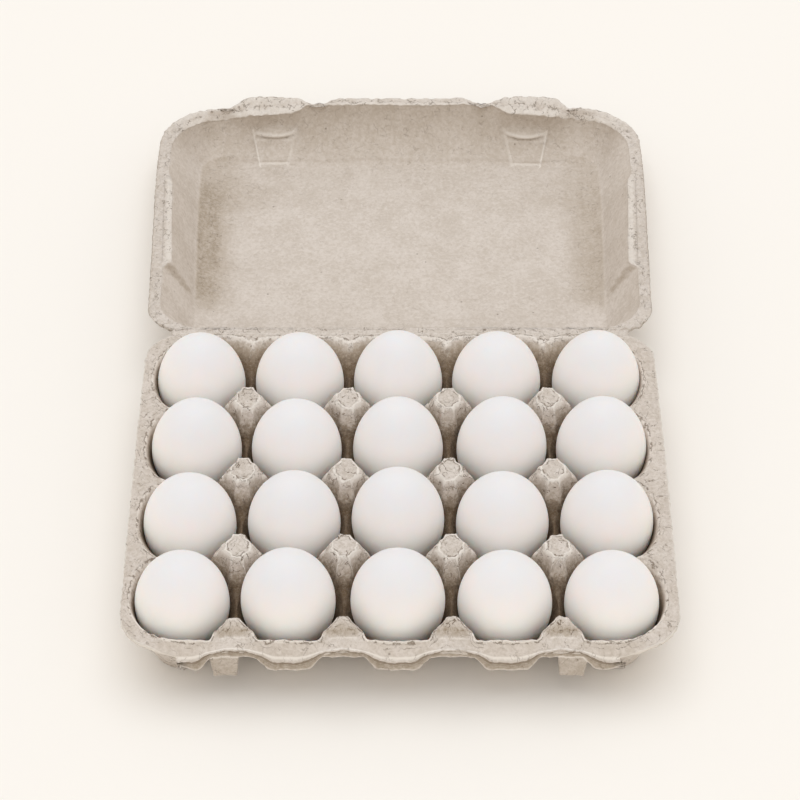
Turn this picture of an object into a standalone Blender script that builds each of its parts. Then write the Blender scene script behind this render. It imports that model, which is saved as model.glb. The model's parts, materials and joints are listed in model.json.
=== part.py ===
"""Moulded-pulp egg carton, lid open flat behind the tray, with its eggs.

Lengths are metres and +Z is up. X runs along the hinge, -Y is the front of the tray.
Run with: blender --background --python part.py
"""
import math

import bmesh
import bpy
from mathutils import Matrix, Vector

MM = 0.001

# Egg grid, whose middle lies a little to the left of the tray's
COLUMNS = 5
ROWS = 4
PITCH = 50.0 * MM
HALF_PITCH = PITCH / 2
GRID_TO_HINGE = 107.5 * MM
GRID_X = -1.0 * MM

# Eggs, which keep a gap to the pulp
EGG_RADIUS = 22.2 * MM
EGG_HALF_HEIGHT = 28.2 * MM
EGG_BOTTOM = 2.6 * MM
EGG_BLUNTNESS = 0.03
EGG_SEGMENTS = 10
EGG_RINGS = 6
EGG_SIZE_STEP = 0.004
EGG_SIZE_KINDS = 4

# Sheet and cups
SHEET = 2.2 * MM
FOOT_RADIUS = 13.5 * MM
SADDLE_RADIUS = 24.6 * MM
SADDLE_Z = 27.0 * MM
RIM_Z = 35.0 * MM
POST_Z = 42.6 * MM
INNER_OPENING = 27.4 * MM
SIDE_OPENING = 26.0 * MM
FRONT_OPENING = 26.4 * MM
BACK_OPENING = 28.3 * MM
ROUND_CUP = 2.0
SIDE_CUP = 2.6
BACK_CUP = 3.9

# Post tops fall away from the middle of the post in steps of (distance, height)
POST_PROFILE = (
    (6.0 * MM, POST_Z),
    (11.0 * MM, 38.2 * MM),
    (16.5 * MM, SADDLE_Z),
)
# Webs between edge cups, as (distance of the foot, distance of the top) from the egg grid's middle
SIDE_WEB = (108.0 * MM, 113.0 * MM)
BACK_WEB = (89.5 * MM, 95.0 * MM)
FRONT_WEB = (86.5 * MM, 93.8 * MM)
FRONT_POST_EDGE = 94.8 * MM
FRONT_POST_FOOT = 98.2 * MM
FRONT_POST_FLAT = 3.0 * MM
FRONT_POST_FALL = 0.95

# Tray outline: half the width, and how far it reaches from the egg grid's middle
TRAY_HALF_WIDTH = 129.8 * MM
TRAY_FRONT = 105.6 * MM
TRAY_BACK = GRID_TO_HINGE - 1.5 * MM
FRONT_CORNER = 21.0 * MM
BACK_CORNER = 25.0 * MM

# Front lip: a skirt below the rim, shallow under the posts and deep under the cups
LIP_THICKNESS = 2.2 * MM
LIP_STRIP = LIP_THICKNESS * 1.2
LIP_HALF_WIDTH = 108.5 * MM
LIP_LEVELS = (
    (32.0 * MM, 25.0 * MM, 1.2 * MM),
    (27.5 * MM, 20.2 * MM, 0.0),
)
LIP_POST_HALF = 9.0 * MM
LIP_CUP_START = 16.5 * MM
TAB_X = 79.3 * MM
TAB_LEVELS = ((25.0 * MM, 6.8 * MM), (15.0 * MM, 5.3 * MM))

# Hinge
AXIS_Z = RIM_Z + 0.3 * MM
LID_SAG_DEG = 1.855

# Lid, measured from the hinge axis, with depth below the axis
LID_SHEET = 2.0 * MM
LID_NEAR = 1.5 * MM
LID_RIM_DROP = 0.3 * MM
LID_HALF_NEAR = 132.0 * MM
LID_HALF_FAR = 138.5 * MM
LID_SHOULDER = 208.0 * MM
LID_LIP = 212.5 * MM
LID_NEAR_CORNER = 25.0 * MM
LID_FAR_CORNER = 27.5 * MM
LID_DIP_START = LID_SHOULDER - 3 * LID_FAR_CORNER
LID_SHOULDER_DROP = 3.0 * MM
LID_FLANGE = 8.0 * MM
LID_INNER_NEAR = 7.5 * MM
LID_INNER_FAR = 206.0 * MM
LID_INNER_CORNER = 22.5 * MM
LID_CORNER_SHRINK = 0.7
LID_DEPTH = 26.9 * MM
LID_DRAFT = 0.2
LID_BOW = 12.6 * MM
LID_LEVELS = (8.0 * MM, 15.6 * MM, 16.4 * MM, 21.0 * MM, 25.0 * MM, LID_DEPTH)
NOTCH_X = 46.5 * MM
NOTCH_HALF = 9.0 * MM
NOTCH_DEPTH = 5.5 * MM
LIP_END = 92.0 * MM
LIP_FADE = (LIP_END - 4 * MM, LIP_END + 2 * MM)
BOSS_X = 73.5 * MM
BOSS_TOP_HALF = 14.0 * MM
BOSS_BOTTOM_HALF = 12.0 * MM
BOSS_TOP = 16.0 * MM
BOSS_LEDGE = 7.0 * MM
BOSS_SLOPE = 8.0 * MM
BOSS_CHEEK = 4.0 * MM
FAR_STATIONS = (0.0, 18.0 * MM, 37.0 * MM, NOTCH_X, 56.0 * MM)
FAR_END = 95.0 * MM
ARC_STEPS = 4
SIDE_STEPS = 4
NEAR_STEPS = 6

# Place of the whole: the hinge line is set so that the open carton's box is centred on Y = 0
FRONT_REACH = GRID_TO_HINGE + TRAY_FRONT + LIP_LEVELS[0][2]
FAR_REACH = LID_LIP * math.cos(math.radians(LID_SAG_DEG)) - LID_RIM_DROP * math.sin(math.radians(LID_SAG_DEG))
HINGE_Y = (FRONT_REACH - FAR_REACH) / 2
GRID_Y = HINGE_Y - GRID_TO_HINGE

# Where a cup's outline is sampled along half a side of its cell
SIDE_SAMPLES = (0.0, 0.324, 0.664, 1.0)
# and, in the front cells, at the bends of the half-posts
FRONT_ROW = PITCH * (ROWS - 1) / 2
FRONT_BENDS = (FRONT_ROW, FRONT_WEB[0], FRONT_POST_EDGE, FRONT_POST_FOOT, TRAY_FRONT)
FRONT_SAMPLES = tuple((bend - FRONT_ROW) / (TRAY_FRONT - FRONT_ROW) for bend in FRONT_BENDS)
BALL_SHARES = (0.5, 0.85, 1.0)
BALL_DIRECTIONS = 12
BISECTION_STEPS = 40
OUTER_PROBE = 1.0 * MM
LEAST_RIM = 1.5 * MM
SLACK = 0.0001
WELD = 0.01 * MM

PULP_COLOUR = (0.56, 0.51, 0.45)
PULP_ROUGHNESS = 0.95
SHELL_COLOUR = (0.86, 0.84, 0.83)
SHELL_ROUGHNESS = 0.55


def clamp(value, low, high):
    return max(low, min(high, value))


def ramp(value, start, end):
    """0 before start, 1 after end, straight between."""
    return clamp((value - start) / (end - start), 0.0, 1.0)


def stepped(value, profile):
    """Height at a distance, from a list of (distance, height) corners."""
    distance, height = profile[0]
    if value <= distance:
        return height
    for far, low in profile[1:]:
        if value <= far:
            return height + (low - height) * (value - distance) / (far - distance)
        distance, height = far, low
    return height


# Materials and collections

def material(name, color, roughness):
    mat = bpy.data.materials.new(name)
    mat.use_nodes = True
    shader = mat.node_tree.nodes["Principled BSDF"]
    shader.inputs["Base Color"].default_value = (*color, 1.0)
    shader.inputs["Roughness"].default_value = roughness
    shader.inputs["Metallic"].default_value = 0.0
    return mat


def add_object(name, bm, mat, collection, place=None, origin=None):
    """Make an object from a bmesh; its origin goes to the given point."""
    bmesh.ops.recalc_face_normals(bm, faces=bm.faces)
    if place is not None:
        bm.transform(place)
    if origin is not None:
        bm.transform(Matrix.Translation(-origin))
    mesh = bpy.data.meshes.new(name)
    bm.to_mesh(mesh)
    bm.free()
    mesh.materials.append(mat)
    obj = bpy.data.objects.new(name, mesh)
    if origin is not None:
        obj.location = origin
    collection.objects.link(obj)
    return obj


# Tray: heights of the sheet, over positions measured from the egg grid's middle

def column_x(column):
    return (column - (COLUMNS - 1) / 2) * PITCH


def row_y(row):
    return (row - (ROWS - 1) / 2) * PITCH


def opening(dx, dy, column, row):
    """Half sizes of a cup's mouth towards this side, and how square it is there."""
    side = (column == 0 and dx < 0) or (column == COLUMNS - 1 and dx > 0)
    front = row == 0 and dy < 0
    back = row == ROWS - 1 and dy > 0
    half_x = SIDE_OPENING if side else INNER_OPENING
    half_y = FRONT_OPENING if front else BACK_OPENING if back else INNER_OPENING
    power = ROUND_CUP
    if side and not (front or back):
        power = SIDE_CUP
    elif back and not side:
        power = BACK_CUP
    return half_x, half_y, power


def cup_height(dx, dy, column, row):
    """The cup's wall: a flat foot, a straight round wall, and a mouth that suits its neighbours."""
    radius = math.hypot(dx, dy)
    if radius <= FOOT_RADIUS:
        return SHEET
    if radius <= SADDLE_RADIUS:
        return SHEET + (SADDLE_Z - SHEET) * (radius - FOOT_RADIUS) / (SADDLE_RADIUS - FOOT_RADIUS)
    half_x, half_y, power = opening(dx, dy, column, row)
    share = (abs(dx) / half_x) ** power + (abs(dy) / half_y) ** power
    mouth = radius / share ** (1 / power)
    return SADDLE_Z + (RIM_Z - SADDLE_Z) * (radius - SADDLE_RADIUS) / (mouth - SADDLE_RADIUS)


def inner_lines(count):
    return [(index - count / 2) * PITCH for index in range(1, count)]


def ridge_height(x, y):
    """The highest the sheet may be: saddles, posts, edge webs, rim and front half-posts."""
    height = SADDLE_Z
    for post_x in inner_lines(COLUMNS):
        for post_y in inner_lines(ROWS):
            distance = max(abs(x - post_x), abs(y - post_y))
            height = max(height, stepped(distance, POST_PROFILE))
    rise = RIM_Z - SADDLE_Z
    height = max(height, SADDLE_Z + rise * ramp(abs(x), *SIDE_WEB))
    height = max(height, SADDLE_Z + rise * ramp(y, *BACK_WEB))
    if y < -FRONT_POST_FOOT:
        return max(height, RIM_Z)
    for post_x in inner_lines(COLUMNS):
        beside = max(0.0, abs(x - post_x) - FRONT_POST_FLAT)
        top = POST_Z - FRONT_POST_FALL * beside
        front_face = RIM_Z + (POST_Z - RIM_Z) * ramp(-y, FRONT_POST_FOOT, FRONT_POST_EDGE)
        back_face = SADDLE_Z + (POST_Z - SADDLE_Z) * ramp(-y, *FRONT_WEB)
        height = max(height, min(top, front_face, back_face))
    return height


def nearest_cell(x, y):
    column = int(clamp(round(x / PITCH + (COLUMNS - 1) / 2), 0, COLUMNS - 1))
    row = int(clamp(round(y / PITCH + (ROWS - 1) / 2), 0, ROWS - 1))
    return column, row


def top_height(x, y):
    column, row = nearest_cell(x, y)
    wall = cup_height(x - column_x(column), y - row_y(row), column, row)
    return min(wall, ridge_height(x, y))


def under_height(x, y):
    """The underside: the top lowered by a ball of the sheet's thickness rolled along it."""
    low = top_height(x, y) - SHEET
    for share in BALL_SHARES:
        reach = SHEET * share
        lift = math.sqrt(max(0.0, SHEET ** 2 - reach ** 2))
        for step in range(BALL_DIRECTIONS):
            angle = 2 * math.pi * step / BALL_DIRECTIONS
            beside = top_height(x + reach * math.cos(angle), y + reach * math.sin(angle))
            low = min(low, beside - lift)
    return max(low, 0.0)


# Tray: plan outline

def inside_tray(x, y, inset):
    """Whether a point lies inside the rim's outline, drawn in by an inset."""
    corner = (FRONT_CORNER if y < 0 else BACK_CORNER) - inset
    half = TRAY_HALF_WIDTH - inset
    end = (TRAY_FRONT if y < 0 else TRAY_BACK) - inset
    across = abs(x + GRID_X)
    if across > half or abs(y) > end:
        return False
    over_x = across - (half - corner)
    over_y = abs(y) - (end - corner)
    return over_x <= 0 or over_y <= 0 or math.hypot(over_x, over_y) <= corner


def cell_limits(column, row, inset):
    """How far a cell reaches to -X, +X, -Y and +Y from its middle."""
    side = TRAY_HALF_WIDTH + column_x(0) - inset
    left = side + GRID_X if column == 0 else HALF_PITCH
    right = side - GRID_X if column == COLUMNS - 1 else HALF_PITCH
    front = TRAY_FRONT + row_y(0) - inset if row == 0 else HALF_PITCH
    back = TRAY_BACK + row_y(0) - inset if row == ROWS - 1 else HALF_PITCH
    return left, right, front, back


def rim_point(column, row, dx, dy, inset):
    """A point of the cell's box, pulled in along its ray where the tray's corner is round."""
    x, y = column_x(column), row_y(row)
    low, high = 0.0, 1.0
    if inside_tray(x + dx * (1 - SLACK), y + dy * (1 - SLACK), inset):
        return dx, dy
    for _ in range(BISECTION_STEPS):
        middle = (low + high) / 2
        if inside_tray(x + dx * middle, y + dy * middle, inset):
            low = middle
        else:
            high = middle
    return dx * low, dy * low


def cell_boundary(column, row, inset):
    """Points round a cell's edge, counter-clockwise, which its neighbours share."""
    left, right, front, back = cell_limits(column, row, inset)
    points = []
    for sx, sy in ((1, 1), (-1, 1), (-1, -1), (1, -1)):
        width = right if sx > 0 else left
        depth = back if sy > 0 else front
        down_side = FRONT_SAMPLES if row == 0 and sy < 0 else SIDE_SAMPLES
        along_side = [(sx * width, sy * depth * share) for share in down_side]
        along_end = [(sx * width * share, sy * depth) for share in reversed(SIDE_SAMPLES[:-1])]
        quarter = along_side + along_end
        if sx != sy:
            quarter.reverse()
        points += quarter[:-1]
    return [rim_point(column, row, dx, dy, inset) for dx, dy in points]


def mouth_radius(dx, dy, column, row):
    """Where a ray to the cell's edge meets the rim's inner edge, or half way up to a post's top."""
    length = math.hypot(dx, dy)
    x, y = column_x(column), row_y(row)
    past = 1 + OUTER_PROBE / length
    if inside_tray(x + dx * past, y + dy * past, 0.0):
        return SADDLE_RADIUS + (length - SADDLE_RADIUS) / 2
    half_x, half_y, power = opening(dx, dy, column, row)
    share = (abs(dx) / length / half_x) ** power + (abs(dy) / length / half_y) ** power
    return min(1 / share ** (1 / power), length - LEAST_RIM)


def cell_rings(column, row, underside):
    """Rings of plan points from the foot out to the cell's edge."""
    edge = cell_boundary(column, row, LIP_THICKNESS if underside else 0.0)
    radii = [(FOOT_RADIUS, SADDLE_RADIUS, mouth_radius(dx, dy, column, row)) for dx, dy in edge]
    rings = []
    for index in range(2 if underside else 3):
        scales = [radius[index] / math.hypot(dx, dy) for radius, (dx, dy) in zip(radii, edge)]
        rings.append([(dx * scale, dy * scale) for scale, (dx, dy) in zip(scales, edge)])
    return rings + [edge]


def grow_loop(bm, loop):
    """Extrude a closed loop of points outwards, and return the new loop in the same order."""
    count = len(loop)
    edges = [bm.edges.get((loop[index], loop[(index + 1) % count])) for index in range(count)]
    grown = bmesh.ops.extrude_edge_only(bm, edges=edges)["geom"]
    fresh = {item for item in grown if isinstance(item, bmesh.types.BMVert)}
    return [next(e.other_vert(v) for e in v.link_edges if e.other_vert(v) in fresh) for v in loop]


def turn_of(vert):
    """A point's angle about the origin, from 0 to a full turn."""
    return math.atan2(vert.co.y, vert.co.x) % (2 * math.pi)


def add_cell(bm, column, row, underside):
    """One cell's patch: a disc for the foot, whose rim is extruded out ring by ring."""
    height = under_height if underside else top_height
    x, y = column_x(column), row_y(row)
    rings = cell_rings(column, row, underside)
    disc = bmesh.ops.create_circle(bm, cap_ends=True, cap_tris=True, segments=len(rings[0]), radius=FOOT_RADIUS)
    hub = max(disc["verts"], key=lambda vert: len(vert.link_edges))
    hub.co = Vector((x, y, height(x, y)))
    loop = sorted((vert for vert in disc["verts"] if vert is not hub), key=turn_of)
    for index, ring in enumerate(rings):
        if index:
            loop = grow_loop(bm, loop)
        for vert, (dx, dy) in zip(loop, ring):
            vert.co = Vector((x + dx, y + dy, height(x + dx, y + dy)))


def add_surface(bm, underside):
    """Every cell's patch, welded along the lines that they share."""
    for column in range(COLUMNS):
        for row in range(ROWS):
            add_cell(bm, column, row, underside)
    bmesh.ops.remove_doubles(bm, verts=bm.verts, dist=WELD)


def boundary_edges(bm):
    return [edge for edge in bm.edges if edge.is_boundary]


def add_rim_ledge(bm, outline):
    """Carry the underside's edge out to the outline of the top, under the rim."""
    grown = bmesh.ops.extrude_edge_only(bm, edges=boundary_edges(bm))["geom"]
    for vert in [item for item in grown if isinstance(item, bmesh.types.BMVert)]:
        x, y = min(outline, key=lambda point: math.hypot(point[0] - vert.co.x, point[1] - vert.co.y))
        vert.co = Vector((x, y, RIM_Z - SHEET))


def lip_share(x):
    """0 under a post, 1 under a cup."""
    from_post = min(abs(x - post_x) for post_x in inner_lines(COLUMNS))
    return ramp(from_post, LIP_POST_HALF, LIP_CUP_START)


def extrude_down(bm, faces):
    """Grow a strip of underside faces and return the new faces and points."""
    grown = bmesh.ops.extrude_face_region(bm, geom=faces)["geom"]
    bmesh.ops.delete(bm, geom=faces, context="FACES")
    new_faces = [item for item in grown if isinstance(item, bmesh.types.BMFace)]
    new_verts = [item for item in grown if isinstance(item, bmesh.types.BMVert)]
    return new_faces, new_verts


def add_front_lip(bm):
    """Extrude the outer strip of the rim's underside down into the lip, then its two tabs."""
    strip = []
    for face in bm.faces:
        middle = face.calc_center_median()
        on_edge = all(vert.co.y < -TRAY_FRONT + LIP_STRIP for vert in face.verts)
        below = all(vert.co.z < RIM_Z - SHEET / 2 for vert in face.verts)
        if on_edge and below and abs(middle.x) < LIP_HALF_WIDTH:
            strip.append(face)
    for post_z, cup_z, bulge in LIP_LEVELS:
        strip, verts = extrude_down(bm, strip)
        for vert in verts:
            share = lip_share(vert.co.x)
            vert.co.z = post_z + (cup_z - post_z) * share
            vert.co.y -= bulge * share if bulge else 0.0
    tabs = {side: [face for face in strip if abs(face.calc_center_median().x - side * TAB_X) < LIP_POST_HALF]
            for side in (-1, 1)}
    for side, tab in tabs.items():
        for level, half in TAB_LEVELS:
            tab, verts = extrude_down(bm, tab)
            widest = max(abs(vert.co.x - side * TAB_X) for vert in verts)
            for vert in verts:
                vert.co.z = level
                vert.co.x = side * TAB_X + (vert.co.x - side * TAB_X) * half / widest


def make_tray(mat, collection):
    top = bmesh.new()
    add_surface(top, underside=False)
    outline = {vert.co.xy.to_tuple() for edge in boundary_edges(top) for vert in edge.verts}
    top_mesh = bpy.data.meshes.new("tray_top")
    top.to_mesh(top_mesh)
    top.free()
    bm = bmesh.new()
    add_surface(bm, underside=True)
    add_rim_ledge(bm, outline)
    bm.from_mesh(top_mesh)
    bpy.data.meshes.remove(top_mesh)
    bmesh.ops.bridge_loops(bm, edges=boundary_edges(bm))
    bmesh.ops.recalc_face_normals(bm, faces=bm.faces)
    add_front_lip(bm)
    bmesh.ops.triangulate(bm, faces=bm.faces, quad_method="SHORT_EDGE")
    return add_object("tray", bm, mat, collection, place=Matrix.Translation((GRID_X, GRID_Y, 0)))


# Lid, measured from the hinge axis

def boss_half(depth):
    """Half the width of a boss at this depth: it narrows down to the panel."""
    return BOSS_TOP_HALF + (BOSS_BOTTOM_HALF - BOSS_TOP_HALF) * ramp(depth, BOSS_TOP, LID_DEPTH)


def far_stations(depth):
    """Where the far side is sampled across, with points on the edges of the boss."""
    half = boss_half(depth)
    boss = [BOSS_X + offset for offset in (-half, BOSS_CHEEK - half, 0.0, half - BOSS_CHEEK, half)]
    return list(FAR_STATIONS) + boss + [FAR_END]


def lid_ring(half_near, half_far, near, far, near_corner, far_corner, depth):
    """A rounded outline, wider at the far end, starting at the middle of the far side."""

    def half_at(y):
        return half_near + (half_far - half_near) * ramp(y, near, far)

    right = [(station, far) for station in far_stations(depth)]
    for step in range(ARC_STEPS + 1):
        angle = math.pi / 2 * (1 - step / ARC_STEPS)
        centre = half_at(far - far_corner) - far_corner
        right.append((centre + far_corner * math.cos(angle), far - far_corner * (1 - math.sin(angle))))
    for step in range(1, SIDE_STEPS):
        y = far - far_corner + (near + near_corner - far + far_corner) * step / SIDE_STEPS
        right.append((half_at(y), y))
    for step in range(ARC_STEPS + 1):
        angle = -math.pi / 2 * step / ARC_STEPS
        centre = half_at(near + near_corner) - near_corner
        right.append((centre + near_corner * math.cos(angle), near + near_corner * (1 + math.sin(angle))))
    last = right[-1][0]
    for step in range(1, NEAR_STEPS):
        right.append((last * (1 - step / NEAR_STEPS), near))
    right.append((0.0, near))
    left = [(-x, y) for x, y in reversed(right[1:-1])]
    return right + left


def lid_lip(x):
    """How far the rim's outer edge lies past the shoulder line along the far side."""
    reach = (LID_LIP - LID_SHOULDER) * (1 - ramp(abs(x), *LIP_FADE))
    notch = NOTCH_DEPTH * (1 - ramp(abs(abs(x) - NOTCH_X), 0, NOTCH_HALF))
    return reach - notch


def rim_drop(x, y):
    """The rim dips at the far corners."""
    across = ramp(abs(x), *LIP_FADE)
    along = ramp(y, LID_DIP_START, LID_SHOULDER - LID_FAR_CORNER)
    return LID_SHOULDER_DROP * across * along


def boss_inset(x, depth):
    """How far the two bosses stand in from the far wall at this depth."""
    if depth <= BOSS_TOP:
        return 0.0
    reach = BOSS_LEDGE + (BOSS_SLOPE - BOSS_LEDGE) * ramp(depth, BOSS_TOP, LID_DEPTH)
    half = boss_half(depth)
    return reach * (1 - ramp(abs(abs(x) - BOSS_X), half - BOSS_CHEEK, half))


def lid_inset(depth):
    bowl = 1 - math.sqrt(max(0.0, 1 - (depth / LID_DEPTH) ** 2))
    return LID_DRAFT * depth + LID_BOW * bowl


def wall_ring(depth):
    inset = lid_inset(depth)
    corner = LID_INNER_CORNER - inset * LID_CORNER_SHRINK
    ring = lid_ring(LID_HALF_NEAR - LID_FLANGE - inset, LID_HALF_FAR - LID_FLANGE - inset,
                    LID_INNER_NEAR + inset, LID_INNER_FAR - inset, corner, corner, depth)
    far = LID_INNER_FAR - inset
    points = []
    for x, y in ring:
        on_far = abs(y - far) < WELD
        inward = boss_inset(x, depth) if on_far else 0.0
        drop = max(depth, rim_drop(x, y) if depth < BOSS_TOP / 2 else 0.0)
        points.append(Vector((x, y - inward, -LID_RIM_DROP - drop)))
    return points


def rim_ring():
    ring = lid_ring(LID_HALF_NEAR, LID_HALF_FAR, LID_NEAR, LID_SHOULDER, LID_NEAR_CORNER, LID_FAR_CORNER, 0.0)
    points = []
    for x, y in ring:
        on_far = abs(y - LID_SHOULDER) < WELD
        reach = lid_lip(x) if on_far else 0.0
        points.append(Vector((x, y + reach, -LID_RIM_DROP - rim_drop(x, y))))
    return points


def make_lid(mat, collection):
    """Rings from the rim down to the panel, capped, then thickened outwards."""
    rings = [rim_ring(), wall_ring(0.0)] + [wall_ring(depth) for depth in LID_LEVELS]
    bm = bmesh.new()
    circle = bmesh.ops.create_circle(bm, segments=len(rings[0]), radius=LID_HALF_NEAR)
    loop = sorted(circle["verts"], key=turn_of, reverse=True)
    for index, ring in enumerate(rings):
        if index:
            loop = grow_loop(bm, loop)
        for vert, point in zip(loop, ring):
            vert.co = point
    panel = [bm.edges.get((vert, loop[index - 1])) for index, vert in enumerate(loop)]
    bmesh.ops.edgeloop_fill(bm, edges=panel)
    bmesh.ops.triangulate(bm, faces=bm.faces)
    bmesh.ops.recalc_face_normals(bm, faces=bm.faces)
    if sum(face.normal.z for face in bm.faces) < 0:
        bmesh.ops.reverse_faces(bm, faces=bm.faces)
    axis = Vector((0, HINGE_Y, AXIS_Z))
    mesh = bpy.data.meshes.new("lid")
    bm.to_mesh(mesh)
    bm.free()
    mesh.materials.append(mat)
    lid = bpy.data.objects.new("lid", mesh)
    lid.location = axis
    lid.rotation_euler.x = -math.radians(LID_SAG_DEG)
    collection.objects.link(lid)
    wall = lid.modifiers.new("sheet", "SOLIDIFY")
    wall.thickness = LID_SHEET
    wall.offset = -1
    wall.use_even_offset = True
    return lid


# Eggs

def egg_mesh():
    """A sphere drawn out upwards, a little fuller above its middle."""
    bm = bmesh.new()
    bmesh.ops.create_uvsphere(bm, u_segments=EGG_SEGMENTS, v_segments=EGG_RINGS, radius=1.0)
    for vert in bm.verts:
        swell = 1 + EGG_BLUNTNESS * vert.co.z
        vert.co.x *= EGG_RADIUS * swell
        vert.co.y *= EGG_RADIUS * swell
        vert.co.z *= EGG_HALF_HEIGHT
    bmesh.ops.triangulate(bm, faces=bm.faces)
    return bm


def make_eggs(mat, collection):
    """One egg to a cup, each its own object, not quite the same size as its neighbours."""
    for column in range(COLUMNS):
        for row in range(ROWS):
            size = 1 - EGG_SIZE_STEP * ((2 * column + 3 * row) % EGG_SIZE_KINDS)
            height = EGG_BOTTOM + EGG_HALF_HEIGHT * size
            centre = Vector((GRID_X + column_x(column), GRID_Y + row_y(row), height))
            place = Matrix.Translation(centre) @ Matrix.Diagonal((size, size, size, 1))
            name = f"egg_{row + 1}_{column + 1}"
            add_object(name, egg_mesh(), mat, collection, place=place, origin=centre)


def main():
    for obj in list(bpy.data.objects):
        bpy.data.objects.remove(obj)
    carton = bpy.data.collections.new("egg_carton")
    bpy.context.scene.collection.children.link(carton)
    pulp = material("pulp", PULP_COLOUR, PULP_ROUGHNESS)
    shell = material("eggshell", SHELL_COLOUR, SHELL_ROUGHNESS)
    make_tray(pulp, carton)
    make_lid(pulp, carton)
    make_eggs(shell, carton)
    print(f"hinge at y={HINGE_Y:.5f} z={AXIS_Z:.5f}")


main()
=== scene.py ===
# %% [markdown]
# # An open egg carton of moulded pulp, with twenty eggs
#
# This notebook dresses a carton whose sizes, places and hinge are already settled in a packed
# model, the frame. The frame says where each thing is; the cells below give each thing its real
# surface. We work through it in the order a maker would: sizes, camera and light, the tray, the
# lid, the strip that joins them, the eggs, and last the finishes.

import json
import math

import bmesh
import bpy
import numpy as np
from mathutils import Matrix, Vector


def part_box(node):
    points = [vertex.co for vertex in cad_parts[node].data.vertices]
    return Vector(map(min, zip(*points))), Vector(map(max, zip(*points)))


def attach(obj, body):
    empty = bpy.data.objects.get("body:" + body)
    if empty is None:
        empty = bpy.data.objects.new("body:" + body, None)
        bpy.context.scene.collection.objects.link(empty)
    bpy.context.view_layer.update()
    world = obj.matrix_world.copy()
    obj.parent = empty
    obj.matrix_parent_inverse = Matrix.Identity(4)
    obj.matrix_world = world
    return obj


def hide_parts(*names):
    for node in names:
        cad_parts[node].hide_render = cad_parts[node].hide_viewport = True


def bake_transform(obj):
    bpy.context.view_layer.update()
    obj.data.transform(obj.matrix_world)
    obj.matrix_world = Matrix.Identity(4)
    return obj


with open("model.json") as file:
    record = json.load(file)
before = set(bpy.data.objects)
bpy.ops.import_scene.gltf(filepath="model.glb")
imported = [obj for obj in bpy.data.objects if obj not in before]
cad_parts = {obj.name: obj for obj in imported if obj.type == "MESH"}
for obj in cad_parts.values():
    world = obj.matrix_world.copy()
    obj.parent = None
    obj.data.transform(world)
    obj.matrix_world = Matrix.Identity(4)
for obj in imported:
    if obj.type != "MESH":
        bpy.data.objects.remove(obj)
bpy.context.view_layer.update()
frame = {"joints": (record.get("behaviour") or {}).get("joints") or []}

# %% [markdown]
# ## Sizes
#
# The eggs stand on a square grid, so the first and the last egg give its pitch and its middle.
# Everything moulded is drawn in millimetres from that middle, because a pulp tray is designed
# round its cups: the posts, webs and rim are only what is left between them.

# %% Sizes
MM = 0.001
ROWS = 4
COLUMNS = 5


def middle_of(node):
    low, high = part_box(node)
    return (low + high) / 2


first_egg = middle_of("egg_1_1")
last_egg = middle_of(f"egg_{ROWS}_{COLUMNS}")
PITCH = (last_egg.x - first_egg.x) / (COLUMNS - 1) / MM
GRID = Vector(((first_egg.x + last_egg.x) / 2, (first_egg.y + last_egg.y) / 2, 0))
HINGE = Vector(frame["joints"][0]["pos_m"])
TRAY_LOW, TRAY_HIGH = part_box("tray")
POST_LINES_X = (np.arange(1, COLUMNS) - COLUMNS / 2) * PITCH
POST_LINES_Y = (np.arange(1, ROWS) - ROWS / 2) * PITCH
print(f"pitch {PITCH:.2f} mm, grid middle {tuple(round(v, 4) for v in GRID)}")

# %% [markdown]
# ## Helpers for objects and shaders
#
# Some steps come back often: putting an object into the scene, leaving the four values on a point
# that its colour needs, and joining shader nodes. Each gets a short name here. A socket knows the
# node tree that it belongs to, so the shader helpers read like plain sums.

# %% Helpers for objects
TO_METRES = Matrix.Scale(MM, 4)
# edge: a painted highlight above 0 and a painted crease shade below 0; the third value is painted
# shade in hollows and on faces in shade, with a little plain stain
MARKS = ("edge", "inset", "deep", "rough")
# the inset, in millimetres, of points that are nowhere near a rim
FAR_IN = 4


def new_object(name, data):
    made = bpy.data.objects.new(name, data)
    bpy.context.scene.collection.objects.link(made)
    return made


def mesh_object(name, bm):
    mesh = bpy.data.meshes.new(name)
    bm.to_mesh(mesh)
    bm.free()
    mesh.shade_smooth()
    return new_object(name, mesh)


def mark_layers(bm):
    return [bm.verts.layers.float.new(name) for name in MARKS]


def mark(vert, layers, *values):
    """Leave values on a point: how much of an edge it is (painted highlight above 0, painted crease
    shade below 0), how far in, how much painted shade and stain, and how rough it is.
    """
    for layer, value in zip(layers, values):
        vert[layer] = value


def only(kind, items):
    return [item for item in items if isinstance(item, kind)]


def face_up(bm):
    bmesh.ops.recalc_face_normals(bm, faces=bm.faces)
    if sum(face.normal.z for face in bm.faces) < 0:
        bmesh.ops.reverse_faces(bm, faces=bm.faces)


def add_sheet(piece, thickness):
    """Give a single surface the thickness of its sheet, downwards."""
    sheet = piece.modifiers.new("sheet", "SOLIDIFY")
    sheet.thickness = thickness * MM
    sheet.offset = -1


print("marks on each point:", MARKS)

# %% Helpers for shaders
def feed(node, inputs):
    """Link a node's inputs to sockets, or set them to values."""
    for name, value in inputs.items():
        if isinstance(value, bpy.types.NodeSocket):
            node.id_data.links.new(value, node.inputs[name])
        else:
            node.inputs[name].default_value = value
    return node


def add_node(tree, kind, inputs=(), **settings):
    made = tree.nodes.new("ShaderNode" + kind)
    for name, value in settings.items():
        setattr(made, name, value)
    return feed(made, dict(inputs))


def mix_colors(factor, one, other):
    inputs = {0: factor, 6: one, 7: other}
    return add_node(factor.id_data, "Mix", inputs, data_type="RGBA").outputs[2]


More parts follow.
